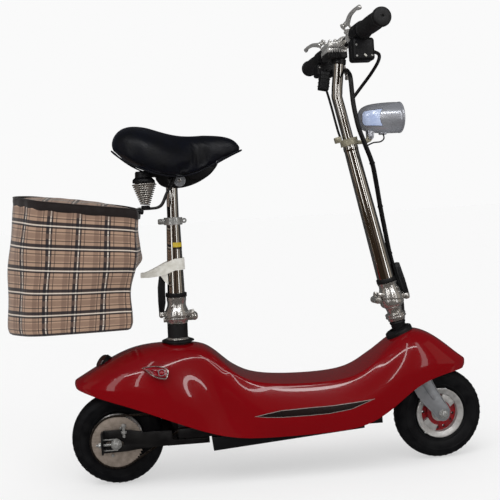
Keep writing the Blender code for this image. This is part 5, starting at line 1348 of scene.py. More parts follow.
def joint_top(x, z, web, web_shift, web_tilt, latch, ear_shift, screws, screw_angle, screw_r):
    """Ears of an upper casting with their webs, the latch's ears, nuts and pin, and the side screws."""
    latch_x, latch_z = latch
    parts = [bar("latch_pin", 0.0024, (latch_x, -0.0125, latch_z), (latch_x, 0.0125, latch_z), 20)]
    for s in (-1, 1):
        parts.append(bar("top_ear", 0.0078, (x, s * 0.0084, z), (x, s * 0.0168, z), 40, 0.001))
        web_at = (x + web_shift[0], s * 0.0126, z + web_shift[1])
        parts.append(block("top_web", (web, 0.0084, 0.0095), web_at, web_tilt, 0.0018))
        ear_at = (latch_x + ear_shift, s * 0.0105, latch_z + 0.002)
        parts.append(block("latch_ear", (0.022, 0.004, 0.011), ear_at, 0.0, 0.0014))
        nut = [(latch_x, s * y, latch_z) for y in (0.0125, 0.015)]
        parts.append(hex_nut("latch_nut", 0.0075, *nut))
        a = math.radians(s * screw_angle)
        out = Vector((math.cos(a), math.sin(a), 0.0))
        for at in screws:
            parts.append(hex_nut("joint_screw", 0.0062, at + out * screw_r, at + out * (screw_r + 0.0042)))
    return parts


def column_joint():
    profile = mm(
        0, 380, 26.2, 380, 26.5, 379, 26.5, 353, 26.1, 350.2, 24, 346.7, 19.6, 343.4, 17.8, 341.2,
        16.8, 336, 16.2, 330.6, 16.6, 329.4, 18, 328.8, 21.9, 328.6, 22.6, 327.8, 22.6, 324.6, 21.7, 324,
        21.7, 323.2, 22.6, 322.6, 22.6, 319.8, 21.8, 318.9, 19.2, 318.2, 19, 313.2, 0, 312.5
    )
    web, catch = (0.024, 0.016, 0.0085), (0.016, 0.013, 0.012)
    parts = joint_base(*COLUMN_HINGE, web, 0.012, catch, (0.6345, 0.0, 0.3535), 0.0016)
    for i, angle in enumerate((-120, -60, 60, 120)):
        a = math.radians(angle)
        out = Vector((math.cos(a), math.sin(a), 0.0))
        at = axis_point(0.3236) + out * 0.0214
        parts.append(hex_nut("ring_screw", 0.0056, at, at + out * 0.0016))
    cast_joint("folding_joint_base", "steering", "column_hinge_base", on_column, profile, False, parts)
    profile = mm(
        0, 404.5, 20.5, 404.5, 21.3, 403.7, 21.3, 395.2, 20.4, 393.8, 20, 392, 19.9, 388, 20.5, 385.2,
        22.3, 380.6, 24.6, 374.8, 26, 369.6, 26.5, 365, 26.5, 345, 0, 345
    )
    screws = [axis_point(0.376), axis_point(0.3855)]
    parts = joint_top(*COLUMN_HINGE, 0.03, (0.014, 0.009), 0.25, COLUMN_LATCH, -0.007, screws, 52.0, 0.0205)
    x, z = COLUMN_LATCH
    parts += [bar("latch_round", 0.0055, (x, s * 0.0085, z), (x, s * 0.0125, z), 28) for s in (-1, 1)]
    band = mm(19.6, 407.5, 21.2, 407.3, 21.9, 406, 21.9, 398.6, 21.3, 397.6, 19.6, 397.6)
    ring = paint(on_column("joint_ring", band, 64), "seal_rubber")
    cast_joint("folding_joint_top", "column", "column_hinge_top", on_column, profile, True, parts, [ring])


def quick_latch(name, place, blade, node, body):
    """Moulded latch lever with a raised middle, moulded ribs and a bright cam pin."""
    lever = refined(node, name, 0.0011, 2.0)
    paint(lever, "black_abs")
    pin = bar("cam", 0.0042, (place[0], -0.0092, place[1]), (place[0], 0.0092, place[1]), 28, 0.001)
    parts = [paint(pin, "cast_chrome")]
    for s in (-1, 1):
        panel = side_plate("panel", [blade], s * 0.0074, s * 0.0088, 0.0005)
        parts.append(paint(panel, "black_abs"))
    for part in parts:
        part.data.transform(bench_to_frame(body))
    complete(joined(name, [lever, *parts]), body, node, None, True)


def column_tubes():
    profile = mm(
        12.8, 716, 15, 716, 15.5, 715.5, 15.7, 700, 16.2, 699.4, 16.5, 698.5, 16.5, 692.5, 16.2, 691.4,
        15.7, 690.6, 19.3, 404.8, 12.8, 404.8
    )
    complete(on_column("outer_column", profile, 64), "column", "column_tube", "chrome_plate")
    knots = [axis_point(z) for z in (0.62, 0.66, 0.7, 0.73, 0.76, 0.788, 0.808)]
    knots += mm(521.5, 0, 818, 522.5, 0, 830, 524.5, 0, 845, 530, 0, 886.7, per=3)
    inner = tube("sliding_column", smooth_path(knots, 6), 0.012, 14)
    complete(inner, "bar", "inner_column", "chrome_plate")


def lamp_clamp():
    """Pinched band at the top of the outer column, its screws and the arm of the headlight."""
    profile = mm(
        16.1, 717, 19.4, 717, 20, 716.2, 20, 714.8, 19.5, 714.3, 19.5, 705.2, 20, 704.7, 20, 703.3,
        19.4, 702.5, 16.1, 702.5
    )
    band = on_column("band", profile, 64)
    centre = axis_point(0.71)
    lug = block("clamp_lug", (0.014, 0.015, 0.013), centre + Vector((-0.0248, 0.0, 0.005)), -RAKE, 0.0018)
    slit = block("clamp_slit", (0.02, 0.002, 0.03), centre + Vector((-0.028, 0.0, 0.005)), -RAKE, 0.0)
    at, side = centre + Vector((-0.026, 0.0, 0.005)), Vector((0.0, 1.0, 0.0))
    parts = [band, cut(lug, slit), bar("pinch_screw", 0.0028, at - side * 0.011, at + side * 0.011, 20)]
    parts += [hex_nut("pinch_nut", 0.008, at + side * s * 0.0076, at + side * s * 0.0112) for s in (-1, 1)]
    arm = mm(
        560, 704, 582, 705, 590, 708.5, 594.5, 713.5, 595.8, 719, 584.2, 719, 581, 715, 576, 712.5,
        560, 712.5
    )
    parts += [
        side_plate("lamp_arm", [arm], -0.006, 0.006, 0.001),
        bar("lamp_pivot", 0.006, (0.59, -0.0062, 0.719), (0.59, 0.0062, 0.719), 32),
        bar("lamp_pin", 0.0022, (0.59, -0.0115, 0.719), (0.59, 0.0115, 0.719), 20),
    ]
    for s in (-1, 1):
        parts.append(hex_nut("arm_screw", 0.006, (0.572, s * 0.006, 0.7083), (0.572, s * 0.0086, 0.7083)))
    complete(joined("lamp_clamp", parts), "column", "height_clamp", "clamp_zinc")


def wrap_on(name, skin, side, place, proud):
    """Thin film laid on the side of a piece: place gives distance and height from two shares."""

    def spot(column, row):
        x, z = place(column / 24, row / 12)
        return (x, side * 0.2, z)

    film, _ = grid(name, 24, 12, spot)
    lay_on(film, skin, side, proud)
    if film.data.polygons[0].normal.y * side < 0:
        film.data.flip_normals()
    return modify(film, "SOLIDIFY", thickness=0.0006, offset=-1.0)


def lamp_panel_place(u, v):
    """Side panel of the headlight: square at the back with round corners, hollowed in front."""
    v = 2.0 * v - 1.0
    back = 0.5695 + 0.006 * abs(v) ** 4
    front = 0.6045 + 0.007 * v * v
    high = 0.7575 + (0.0155 + 0.0025 * u) * v
    return back + (front - back) * u, high


def panel_shade_place(u, v):
    """The same panel, a little larger all round: outline of the dark film painted as shade round the panel."""
    return lamp_panel_place(u * 1.05 - 0.025, v * 1.06 - 0.03)


def headlamp():
    """Bullet housing with bright side panels edged in painted shade, a silver front ring, a reflector and a
    clear lens.
    """
    at = Vector((0.566, 0.0, 0.759))
    body = mm(
        0, 0, 8, 0.3, 14, 1.6, 19.5, 4.5, 24, 9, 27.2, 15, 29.6, 22, 31.2, 31, 32.5, 43, 33.4, 56, 33.9, 69,
        34, 85, 33.8, 90, 33, 92.5, 31.5, 92.5, 31, 88, 0, 88
    )
    housing = paint(lathe("lamp_shell", body[::-1], at, (1, 0, 0), 72), "lamp_lacquer")
    panels = []
    for side in (-1, 1):
        # Under each window, a dark smoked film a little larger than it: painted shade along the window's edge
        panels.append(paint(wrap_on("lamp_panel_shade", housing, side, panel_shade_place, 0.0003), "smoked_lens"))
        panel = wrap_on("lamp_panel", housing, side, lamp_panel_place, 0.0008)
        panels.append(paint(panel, "lamp_window"))
    ears = []
    for s in (-1, 1):
        outline = mm(584.5, 715, 587, 713.2, 590, 712.5, 593, 713.2, 595.5, 715, 600, 740, 584, 740)
        hole = arc(0.59, 0.719, 0.0028, 0, 340, 18)
        ears.append(side_plate("lamp_ear", [outline, hole], s * 0.0065, s * 0.01, 0.0006))
        ears.append(hex_nut("lamp_nut", 0.0075, (0.59, s * 0.0101, 0.719), (0.59, s * 0.0135, 0.719)))
    foot = block("lamp_foot", (0.016, 0.013, 0.0075), (0.62, 0.0, 0.7262), 0.06, 0.002)
    ears = paint(joined("lamp_ears", [*ears, foot]), "lamp_lacquer")
    ring = mm(33.8, 91.5, 34.4, 92.5, 34.4, 95.2, 33.6, 96.2, 31.6, 96.2, 31.4, 92)
    ring = paint(lathe("lamp_ring", ring, at, (1, 0, 0), 72), "lamp_lacquer")
    bowl = mm(0, 88.2, 8, 88.3, 20, 89.3, 30.8, 91.5, 31.2, 90.5, 20, 88.4, 0, 88)
    bowl = paint(lathe("lamp_bowl", bowl, at, (1, 0, 0), 64), "cast_chrome")
    bulb = bar("lamp_bulb", 0.004, at + Vector((0.0884, 0, 0)), at + Vector((0.092, 0, 0)), 24, 0.0015)
    paint(bulb, "clear_lens")
    lamp = joined("bullet_headlight", [housing, *panels, ears, ring, bowl, bulb])
    complete(lamp, "headlight", "headlight_housing", smooth=40)
    lens = mm(0, 99.5, 9, 99.3, 18, 98.5, 26, 97, 30.8, 95, 31.3, 93, 30.4, 93, 25.5, 95.8, 18, 97.2, 0, 98.2)
    glass = lathe("headlight_glass", lens, at, (1, 0, 0), 64)
    complete(glass, "headlight", "headlight_lens", "clear_lens")


class SCOOTER_OT_column(bpy.types.Operator):
    """Folding column: castings, latch, tubes and clamp"""

    bl_idname = "scooter.column"
    bl_label = "Column"

    def execute(self, context):
        column_joint()
        blade = mm(648, 378, 639, 406, 632, 429, 636.5, 431, 645, 404, 653, 379)
        quick_latch("column_quick_latch", COLUMN_LATCH, blade, "column_latch", "column_lever")
        column_tubes()
        lamp_clamp()
        return {"FINISHED"}


class SCOOTER_OT_headlight(bpy.types.Operator):
    """Headlight on its arm"""

    bl_idname = "scooter.headlight"
    bl_label = "Headlight"

    def execute(self, context):
        headlamp()
        return {"FINISHED"}


# Handlebar


def stem_block():
    """Cast clamp block under the bar with ribbed sides and its release lever."""
    body = block("stem_body", (0.044, 0.048, 0.0222), (0.521, 0.0, 0.8999), 0.0, 0.0022, 3)
    groove = bar("bar_groove", 0.0114, (BAR_X, -0.05, BAR_Z), (BAR_X, 0.05, BAR_Z), 48)
    cut(body, groove)
    parts = [body, bar("stem_socket", 0.016, (0.5286, 0.0, 0.879), (0.53, 0.0, 0.89), 48, 0.001)]
    for i in range(5):
        x = 0.506 + 0.0055 * i
        for s in (-1, 1):
            parts.append(block("stem_rib", (0.0022, 0.003, 0.017), (x, s * 0.024, 0.8985), 0.0, 0.0008))
    parts.append(bar("stem_lobe", 0.006, (0.536, 0.016, 0.891), (0.547, 0.016, 0.887), 28, 0.001))
    body = paint(joined("stem_casting", parts), "black_enamel")
    saddle_top = block("stem_top", (0.0448, 0.05, 0.01), (0.521, 0.0, 0.9062), 0.0, 0.0018, 3)
    cut(saddle_top, bar("top_groove", 0.0114, (BAR_X, -0.05, BAR_Z), (BAR_X, 0.05, BAR_Z), 48))
    paint(saddle_top, "polished_alloy")
    path = smooth_path(mm(544, 18, 888, 547.5, 20, 876, 551.5, 22.5, 863, 554, 24, 852, per=3), 5)
    handle = tube("stem_handle", path, 0.0035, 4)
    knob = bar("stem_knob", 0.0048, (0.5528, 0.0232, 0.856), (0.5545, 0.0242, 0.849), 24, 0.0016)
    handle = paint(joined("stem_handle", [handle, knob]), "cast_chrome")
    complete(joined("stem_clamp_block", [body, saddle_top, handle]), "bar", "stem_clamp")


def steel_bar():
    ring = mm(9.5, 255, 10.5, 255, 11, 254.4, 11, -254.4, 10.5, -255, 9.5, -255)
    rod = on_bar("bar_tube", ring, 1, 48)
    shell = mm(
        11, 28.5, 14.5, 28.5, 15.5, 27.2, 15.5, 16, 14.9, 15, 14.9, -15, 15.5, -16, 15.5, -27.2,
        14.5, -28.5, 11, -28.5
    )
    cap = on_bar("cap_shell", shell, 1, 56)
    under = block("under_cap", (0.09, 0.07, 0.03), (0.529, 0.0, 0.9114 - 0.015), 0.0, 0.0)
    cut(cap, under)
    plate_piece = block("cap_plate", (0.033, 0.052, 0.011), (0.517, 0.0, 0.9185), -0.1, 0.0022, 3)
    parts = [cap, plate_piece]
    for s in (-1, 1):
        for k, x in enumerate((0.5075, 0.5195)):
            at = Vector((x, s * 0.015, 0.9225 + (x - 0.5075) * 0.1))
            parts.append(bar("cap_washer", 0.0052, at, at + Vector((0, 0, 0.0026)), 24, 0.0004))
            parts.append(hex_nut("cap_bolt", 0.007, at + Vector((0, 0, 0.0026)), at + Vector((0, 0, 0.006))))
    paint(rod, "chrome_plate")
    cap = paint(joined("bar_cap", parts), "polished_alloy")
    complete(joined("steel_handlebar", [rod, cap]), "bar", "handlebar")


def ribbed_grip(name, side, body, node):
    """Rubber grip: a flange, ringed middle and a domed end with a small hole."""
    profile = mm(
        0, 269, 2.2, 269.2, 3, 272.4, 6, 272.9, 13, 272.4, 16.8, 271.2, 18.6, 269, 19.2, 266, 19.1, 263,
        18, 261.2, 16.4, 260.4
    )
    for i in range(14):
        y = 0.256 - 0.0064 * i
        swell = 0.001 * math.sin(math.pi * i / 13)
        ring = ((0.0158, 0.0), (0.0166, 0.0012), (0.0166, 0.0034), (0.0158, 0.0046))
        profile += [(r + swell, y - down) for r, down in ring]
    profile += mm(16, 164, 17.6, 163, 18, 161.5, 17.6, 160, 11.5, 160)
    profile += [(0.0115, 0.256), (0.0, 0.256)]
    grip = on_bar(name, profile, side, 64)
    complete(grip, body, node, "grip_rubber")


def switch_box(name, side, deep, node):
    """Moulded box under the bar: rounded halves, a parting line, screws and its clamp ring."""
    ring = mm(11.4, 156, 18.6, 156, 19.5, 155, 19.5, 119, 18.6, 118, 11.4, 118)
    ring = on_bar("ring", ring, side, 56)
    box_z = BAR_Z - 0.014 - deep / 2
    parts = [ring]
    for k in (-1, 1):
        at = (BAR_X, side * 0.137 + k * 0.00945, box_z)
        parts.append(block("half", (0.046, 0.0181, deep), at, 0.0, 0.0064, 5))
    parts.append(block("seam", (0.0446, 0.004, deep - 0.0012), (BAR_X, side * 0.137, box_z), 0.0, 0.006, 4))
    if side < 0:
        pocket_at = Vector((BAR_X + 0.023, -0.137, BAR_Z - 0.027))
        deep_by = Vector((0.006, 0.0, 0.0))
        for piece in parts[1:]:
            cut(piece, bar("pocket", 0.0064, pocket_at - deep_by, pocket_at + deep_by, 32))
    box = paint(joined(name, parts), "black_abs")
    screws = []
    for x, z in ((-0.016, -0.3), (0.016, -0.3), (-0.016, 0.18)):
        ends = [(BAR_X + x, side * 0.137 - y, box_z + z * deep) for y in (0.0186, 0.0194)]
        screws.append(bar("screw", 0.0022, *ends, 16, 0.0003))
    extra = paint(joined("screws", screws), "zinc_plate")
    parts = [box, extra]
    if side < 0:
        mark_at = (BAR_X + 0.002, -0.1559, box_z - 0.013)
        mark = block("pale_mark", (0.0064, 0.0008, 0.0034), mark_at, 0.75, 0.0002, 1)
        parts.append(paint(mark, "woven_webbing"))
    complete(joined(name, parts), "bar", node, smooth=40)


LEVER_ANGLE = math.radians(124.0)
LEVER_UP = Vector((math.cos(LEVER_ANGLE), 0.0, math.sin(LEVER_ANGLE)))
LEVER_AXIS = Vector((math.sin(LEVER_ANGLE), 0.0, -math.cos(LEVER_ANGLE)))


def lever_perch(name, side, node):
    """Clamp ring, arm, fork and cable barrel with its lock ring."""
    foot = Vector((BAR_X, side * 0.092, BAR_Z)) + LEVER_UP * 0.013
    pivot = Vector((BAR_X, side * 0.092, BAR_Z)) + LEVER_UP * 0.03
    ring = mm(11.4, 101, 15.4, 101, 16, 100.3, 16, 85.7, 15.4, 85, 11.4, 85)
    parts = [on_bar("ring", ring, side, 56)]
    parts.append(bar("arm", 0.008, foot - LEVER_UP * 0.002, foot + LEVER_UP * 0.0055, 36, 0.0012))
    for k in (-1, 1):
        shift, half = LEVER_AXIS * k * 0.0066, LEVER_AXIS * 0.0018
        parts.append(bar("deck", 0.0065, pivot + shift - half, pivot + shift + half, 36, 0.0006))
        parts.append(bar("cheek", 0.0023, foot + shift, pivot + shift, 20))
    parts.append(bar("pin", 0.0018, pivot - LEVER_AXIS * 0.0085, pivot + LEVER_AXIS * 0.0085, 20))
    parts.append(hex_nut("pin_head", 0.006, pivot + LEVER_AXIS * 0.0084, pivot + LEVER_AXIS * 0.0106))
    start = foot + Vector((0, -side * 0.004, 0)) + LEVER_UP * 0.004
    along = Vector((0, -side, 0))
    parts.append(bar("barrel", 0.0038, start, start + along * 0.02, 28, 0.0008))
    parts.append(lathe("lock", mm(3.6, 0, 5, 0, 5, 3, 3.6, 3), start + along * 0.01, along, 14))
    low = Vector((BAR_X, side * 0.093, BAR_Z)) - LEVER_UP * 0.015
    parts.append(hex_nut("clamp_screw", 0.007, low, low - LEVER_UP * 0.004))
    complete(joined(name, parts), "bar", node, "polished_alloy")


def lever_blade(name, side, body, node):
    """Pressed lever with a rolled edge, a lightening groove and a ball end."""
    outline = arc(0.0, 0.0, 0.0055, 120, 240, 9)
    knots = mm(8, -5, 20, -4.2, 36, 1, 55, 5.5, 75, 7.5, 95, 8.5)
    outline += smooth_outline(knots, 3, closed=False)
    outline += arc(0.113, 0.01, 0.005, -80, 90, 11)
    knots = mm(90, 15.5, 70, 14.8, 50, 13, 32, 9, 18, 6.2, 6, 5.6)
    outline += smooth_outline(knots, 3, closed=False)
    blade = plate(name, [outline, arc(0.0, 0.0, 0.0023, 0, 324, 16)], 0.0075, 0.0022)
    inset = mm(22, 1, 55, 8.5, 90, 11, 90, 13, 52, 10.8, 20, 4)
    rib = plate("rib", [inset], 0.0086, 0.0006)
    blade = joined(name, [blade, rib])
    along = Vector((0.0, side, 0.0))
    pivot = Vector((BAR_X, side * 0.092, BAR_Z)) + LEVER_UP * 0.03
    basis = Matrix((along, LEVER_UP, along.cross(LEVER_UP))).transposed().to_4x4()
    blade.data.transform(Matrix.Translation(pivot) @ basis)
    if basis.determinant() < 0:
        blade.data.flip_normals()
    complete(blade, body, node, "polished_alloy")


def plug_box():
    middle, tilt = Vector((0.499, 0.018, 0.847)), 0.18
    up = Matrix.Rotation(tilt, 4, "Y") @ Vector((0.0, 0.0, 1.0))
    parts = [block("plug_housing", (0.022, 0.018, 0.042), middle, tilt, 0.0026, 3)]
    for i in range(4):
        at = middle + up * (0.008 * i - 0.012)
        parts.append(block("plug_rib", (0.0232, 0.019, 0.002), at, tilt, 0.0007))
    neck = middle + up * 0.0205
    parts.append(bar("plug_neck", 0.005, neck, neck + Vector((0.001, 0.0, 0.005)), 20, 0.001))
    complete(joined("plug_housing", parts), "bar", "connector_box", "black_abs")


def push_button():
    at = Vector((BAR_X + 0.023, -0.137, BAR_Z - 0.027))
    profile = mm(0, 2.2, 3, 2.4, 4.4, 3, 5.2, 2.8, 5.8, 1.8, 5.8, -2, 0, -2)
    button = lathe("push_button", profile, at, (1, 0, 0), 40)
    complete(button, "button", "switch_button", "black_abs")


# Cable routes on the bench
HARNESS = mm(
    550, 114, 885, 557, 80, 875, 552, 25, 870, 546, -10, 860, 544, -30, 845, 545, -32, 815, 546.5, -32, 790,
    550, -32, 765, 556, -32, 735, 568.5, -29, 700, 585, -20, 660, 596, -8, 615, 606, 4, 565, 616, 12, 515, 627,
    20, 460, 641, 27, 405, 651, 28, 350, 650, 25, 306.2, per=3
)
THROTTLE_LEAD = mm(
    558.5, -137, 880, 576, -128, 874, 583, -100, 864, 578, -68, 846, 564, -45, 824, 546.5, -33.5, 801, per=3
)
PLUG_LEAD = mm(503, 18, 828.2, 509, 19.5, 806, 514, 20, 785, 519, 19, 760, 524, 17, 735, 529, 16, 718, per=3)
LAMP_LEAD = mm(619, -6, 724, 618, -12, 713, 608, -16, 706, 590, -22, 704, 574, -26, 698, per=3)


def lamp_lead():
    """Thin lead from the loom to the headlight."""
    place = bench_to_frame("column")
    lead = paint(tube("lamp_lead", smooth_path(LAMP_LEAD, 8), 0.0016, 4), "cable_vinyl")
    lead.data.transform(place)
    pick(lead)
    bpy.ops.object.shade_smooth_by_angle(angle=math.radians(40))
    place @ Vector(LAMP_LEAD[-1])
    place @ Vector(LAMP_LEAD[0])
    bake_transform(lead)


def cables():
    """Loom down the column with its leads."""
    parts = [
        tube("loom", smooth_path(HARNESS, 8), 0.0052, 5),
        tube("throttle_lead", smooth_path(THROTTLE_LEAD, 8), 0.0036, 5),
        tube("plug_lead", smooth_path(PLUG_LEAD, 8), 0.0026, 4),
    ]
    loom = paint(joined("cable_loom", parts), "cable_vinyl")
    ties = []
    for low, high in ((10, 11), (12, 13), (14, 15)):
        a, b = Vector(HARNESS[low]), Vector(HARNESS[high])
        ties.append(lathe("tie", mm(5, -1.6, 6.1, -1.6, 6.1, 1.6, 5, 1.6), a, b - a, 24))
    ties = paint(joined("cable_ties", ties), "black_abs")
    loom = joined("cable_loom", [loom, ties])
    place = bench_to_frame("bar")
    loom.data.transform(place)
    pick(loom)
    bpy.ops.object.shade_smooth_by_angle(angle=math.radians(40))
    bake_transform(loom)
    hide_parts("cable_harness")


class SCOOTER_OT_handlebar(bpy.types.Operator):
    """Handlebar with its clamp, grips, levers and switch boxes"""

    bl_idname = "scooter.handlebar"
    bl_label = "Handlebar"

    def execute(self, context):
        stem_block()
        steel_bar()
        ribbed_grip("left_ribbed_grip", 1, "bar", "left_grip")
        ribbed_grip("twist_grip", -1, "throttle", "throttle_grip")
        switch_box("throttle_box", -1, 0.046, "throttle_housing")
        switch_box("left_switch_box", 1, 0.03, "left_switch_housing")
        for word, side in (("right", -1), ("left", 1)):
            lever_perch(f"{word}_lever_perch", side, f"{word}_brake_perch")
            lever_blade(f"{word}_lever_blade", side, f"{word}_lever", f"{word}_brake_lever")
        plug_box()
        push_button()
        return {"FINISHED"}


class SCOOTER_OT_cables(bpy.types.Operator):
    """Cable loom down the front of the column and the lead of the headlight"""

    bl_idname = "scooter.cables"
    bl_label = "Cables"

    def execute(self, context):
        cables()
        lamp_lead()
        return {"FINISHED"}


# Saddle post


def post_socket():
    """Black sleeve above a bright collar on the body."""
    sleeve = mm(16.5, 339.5, 21.4, 339.5, 22, 338.8, 22, 308.5, 16.5, 308.5)
    sleeve = paint(on_post("post_sleeve", sleeve, 56), "seal_rubber")
    collar = mm(
        16.5, 309.5, 21.2, 309.5, 22.4, 309, 23.6, 307.6, 25, 306.6, 25.4, 305.2, 25, 304, 26.2, 303,
        26.2, 301.2, 25, 300.5, 22, 296, 22, 232, 16.5, 232
    )
    collar = paint(on_post("post_collar", collar, 56), "cast_chrome")
    complete(joined("post_socket", [sleeve, collar]), "chassis", "seat_socket")


def post_joint():
    profile = mm(
        0, 360, 26.6, 360, 27, 359.2, 27, 349.6, 26.6, 348.2, 24.5, 345.8, 23.5, 344.6, 22.5, 340.2,
        22.4, 339.8, 16, 339.8, 16, 300, 0, 300
    )
    web, catch = (0.022, 0.016, 0.008), (0.014, 0.013, 0.009)
    parts = joint_base(*POST_HINGE, web, -0.011, catch, (0.121, 0.0, 0.3475), 0.0014)
    cast_joint("post_joint_base", "chassis", "seat_hinge_base", on_post, profile, False, parts)
    profile = mm(
        0, 397, 20.6, 397, 21.2, 396.3, 21.2, 388.8, 20.3, 387.2, 20.1, 380, 20.8, 376.6, 22.8, 371.8,
        25, 366.8, 26.4, 362.4, 27, 359, 27, 345, 0, 345
    )
    screws = [post_point(0.378)]
    parts = joint_top(*POST_HINGE, 0.028, (-0.013, 0.0065), -0.15, POST_LATCH, 0.008, screws, 118.0, 0.02)
    band = mm(19.2, 406, 22.2, 405.8, 23, 404.8, 23, 398, 22.4, 397.1, 19.2, 397.1)
    ring = paint(on_post("post_ring", band, 64), "seal_rubber")
    cast_joint("post_joint_top", "post", "seat_hinge_top", on_post, profile, True, parts, [ring])


def post_tubes():
    """Tapered outer tube with a plain yellow and black label, and its clamp."""
    profile = mm(13.1, 568, 14.6, 568, 15, 567.5, 15, 550, 19, 397.3, 13.1, 397.3)
    outer = paint(on_post("outer_post", profile, 64), "chrome_plate")
    labels = []
    for low, high, look in ((0.505, 0.515, "label_yellow"), (0.501, 0.505, "transfer_black")):
        # The film follows the taper of the tube, 0.3 mm thick
        r_low, r_high = (0.015 + (0.55 - z) * 0.0262 for z in (low, high))
        film = [(r_low, low), (r_low + 0.0003, low), (r_high + 0.0003, high), (r_high, high)]
        film = lathe("label", [(r, z - 0.3) for r, z in film], steps=28, angle=105.0, start=185.0)
        film.data.transform(Matrix.Translation(post_point(0.3)) @ Matrix.Rotation(POST_LEAN, 4, "Y"))
        labels.append(paint(film, look))
    complete(joined("outer_post", [outer, *labels]), "post", "seat_tube")
    band = mm(15.4, 569, 19.4, 569, 20, 568.3, 20, 553.7, 19.4, 553, 15.4, 553)
    band = on_post("post_band", band, 56)
    centre = post_point(0.561)
    lug = block("post_lug", (0.016, 0.015, 0.012), centre + Vector((-0.025, 0.0, 0.0)), 0.0, 0.003, 3)
    slit = block("post_slit", (0.024, 0.002, 0.03), centre + Vector((-0.027, 0.0, 0.0)), 0.0, 0.0)
    parts = [band, cut(lug, slit)]
    at = centre + Vector((-0.027, 0.0, 0.0))
    parts.append(bar("post_pinch", 0.0026, at - Vector((0, 0.012, 0)), at + Vector((0, 0.012, 0)), 20))
    for s in (-1, 1):
        side = Vector((0, s, 0))
        parts.append(bar("post_pinch_washer", 0.0046, at + side * 0.0075, at + side * 0.0087, 24, 0.0003))
        parts.append(hex_nut("post_pinch_nut", 0.007, at + side * 0.0086, at + side * 0.012))
        eye_at = centre + Vector((0.0235, s * 0.0034, 0.0))
        eye = mm(1.8, -1.8, 5, -1.8, 5.6, -1, 5.6, 1, 5, 1.8, 1.8, 1.8)
        parts.append(lathe("post_eye", eye, eye_at, (0, 1, 0), 32))
    complete(joined("post_clamp", parts), "post", "seat_clamp", "zinc_plate")


def sliding_post():
    profile = mm(0, 638, 12.6, 638, 12.6, 430, 0, 430)
    post = paint(on_post("saddle_post", profile, 56), "chrome_plate")
    head = block("post_head", (0.038, 0.03, 0.024), (0.159, 0.0, 0.644), 0.0, 0.004, 3)
    parts = [paint(head, "black_enamel")]
    for s in (-1, 1):
        dish = mm(
            0, 14, 12.4, 14, 13, 14.6, 13, 16, 11.8, 16.8, 10.4, 16.6, 9.2, 17.4, 7.4, 17.4, 6.6, 18.4,
            0, 18.4
        )
        dish = [(r, h * s) for r, h in dish]
        washer = lathe("post_washer", dish, (0.168, 0.0, 0.647), (0, 1, 0), 48)
        parts.append(paint(washer, "pressed_grey_steel"))
        at = Vector((0.168, s * 0.0184, 0.647))
        parts.append(paint(hex_nut("post_nut", 0.007, at, at + Vector((0, s * 0.0024, 0))), "cast_chrome"))
    complete(joined("saddle_post", [post, *parts]), "saddle", "seat_post")


class SCOOTER_OT_saddle_post(bpy.types.Operator):
    """Folding saddle post: socket, castings, latch, tubes and clamp"""

    bl_idname = "scooter.saddle_post"
    bl_label = "Saddle post"

    def execute(self, context):
        post_socket()
        post_joint()
        blade = mm(108.5, 374, 107.8, 395, 109, 420, 112.5, 440, 120, 438, 118.5, 410, 117.5, 386, 114, 374)
        quick_latch("post_quick_latch", POST_LATCH, blade, "seat_latch", "post_lever")
        post_tubes()
        sliding_post()
        return {"FINISHED"}


# Saddle


# Distance, top height, lower edge height and half width
SADDLE_STATIONS = mm(
    31, 742, 713, 62, 42, 762, 702, 84, 65, 772, 685, 99, 95, 768, 670, 102, 130, 754, 658, 92, 165, 743, 653,
    70, 200, 740, 658, 48, 235, 742, 672, 36, 268, 742, 688, 32, 293, 734, 699, 27, 304, 718, 703, 16, per=4
)
SADDLE_SWELL = 0.003


def saddle_row(station):
    x, top, low, half = station
    top, half = top - SADDLE_SWELL, half - SADDLE_SWELL
    under = max(0.675, low + 0.006)
    tall = top - low
    row = ((x, 0.0, top), (x, 0.5 * half, top - 0.04 * tall), (x, 0.88 * half, top - 0.2 * tall))
    row += ((x, half, top - 0.52 * tall), (x, 0.93 * half, low), (x, 0.8 * half, low + 0.001))
    return row + ((x, 0.62 * half, under), (x, 0.0, under))


def end_row(row, push):
    """Row that closes an end: upper and lower points meet half way."""
    closed = []
    for point, other in zip(row, reversed(row)):
        closed.append(tuple((a + b) / 2 for a, b in zip(point, other)))
    return [(x + push, y, z) for x, y, z in closed]


def stuffed(piece, voxel, pressure, cap):
    """Swells a closed form as its stuffing does, no point moving further than the cap."""
    modify(piece, "REMESH", mode="VOXEL", voxel_size=voxel)
    before = [vert.co.copy() for vert in piece.data.vertices]
    pick(piece)
    cloth = piece.modifiers.new("Cloth", "CLOTH")
    cloth.settings.use_pressure = True
    cloth.settings.uniform_pressure_force = pressure
    cloth.settings.effector_weights.gravity = 0.0
    cloth.point_cache.frame_start = 1
    cloth.point_cache.frame_end = 20
    for step in range(1, 21):
        bpy.context.scene.frame_set(step)
    bpy.ops.object.modifier_apply(modifier=cloth.name)
    bpy.context.scene.frame_set(1)
    for vert, old in zip(piece.data.vertices, before):
        move = vert.co - old
        if move.length > cap:
            vert.co = old + move * (cap / move.length)
    return modify(piece, "SUBSURF", levels=1, render_levels=1)


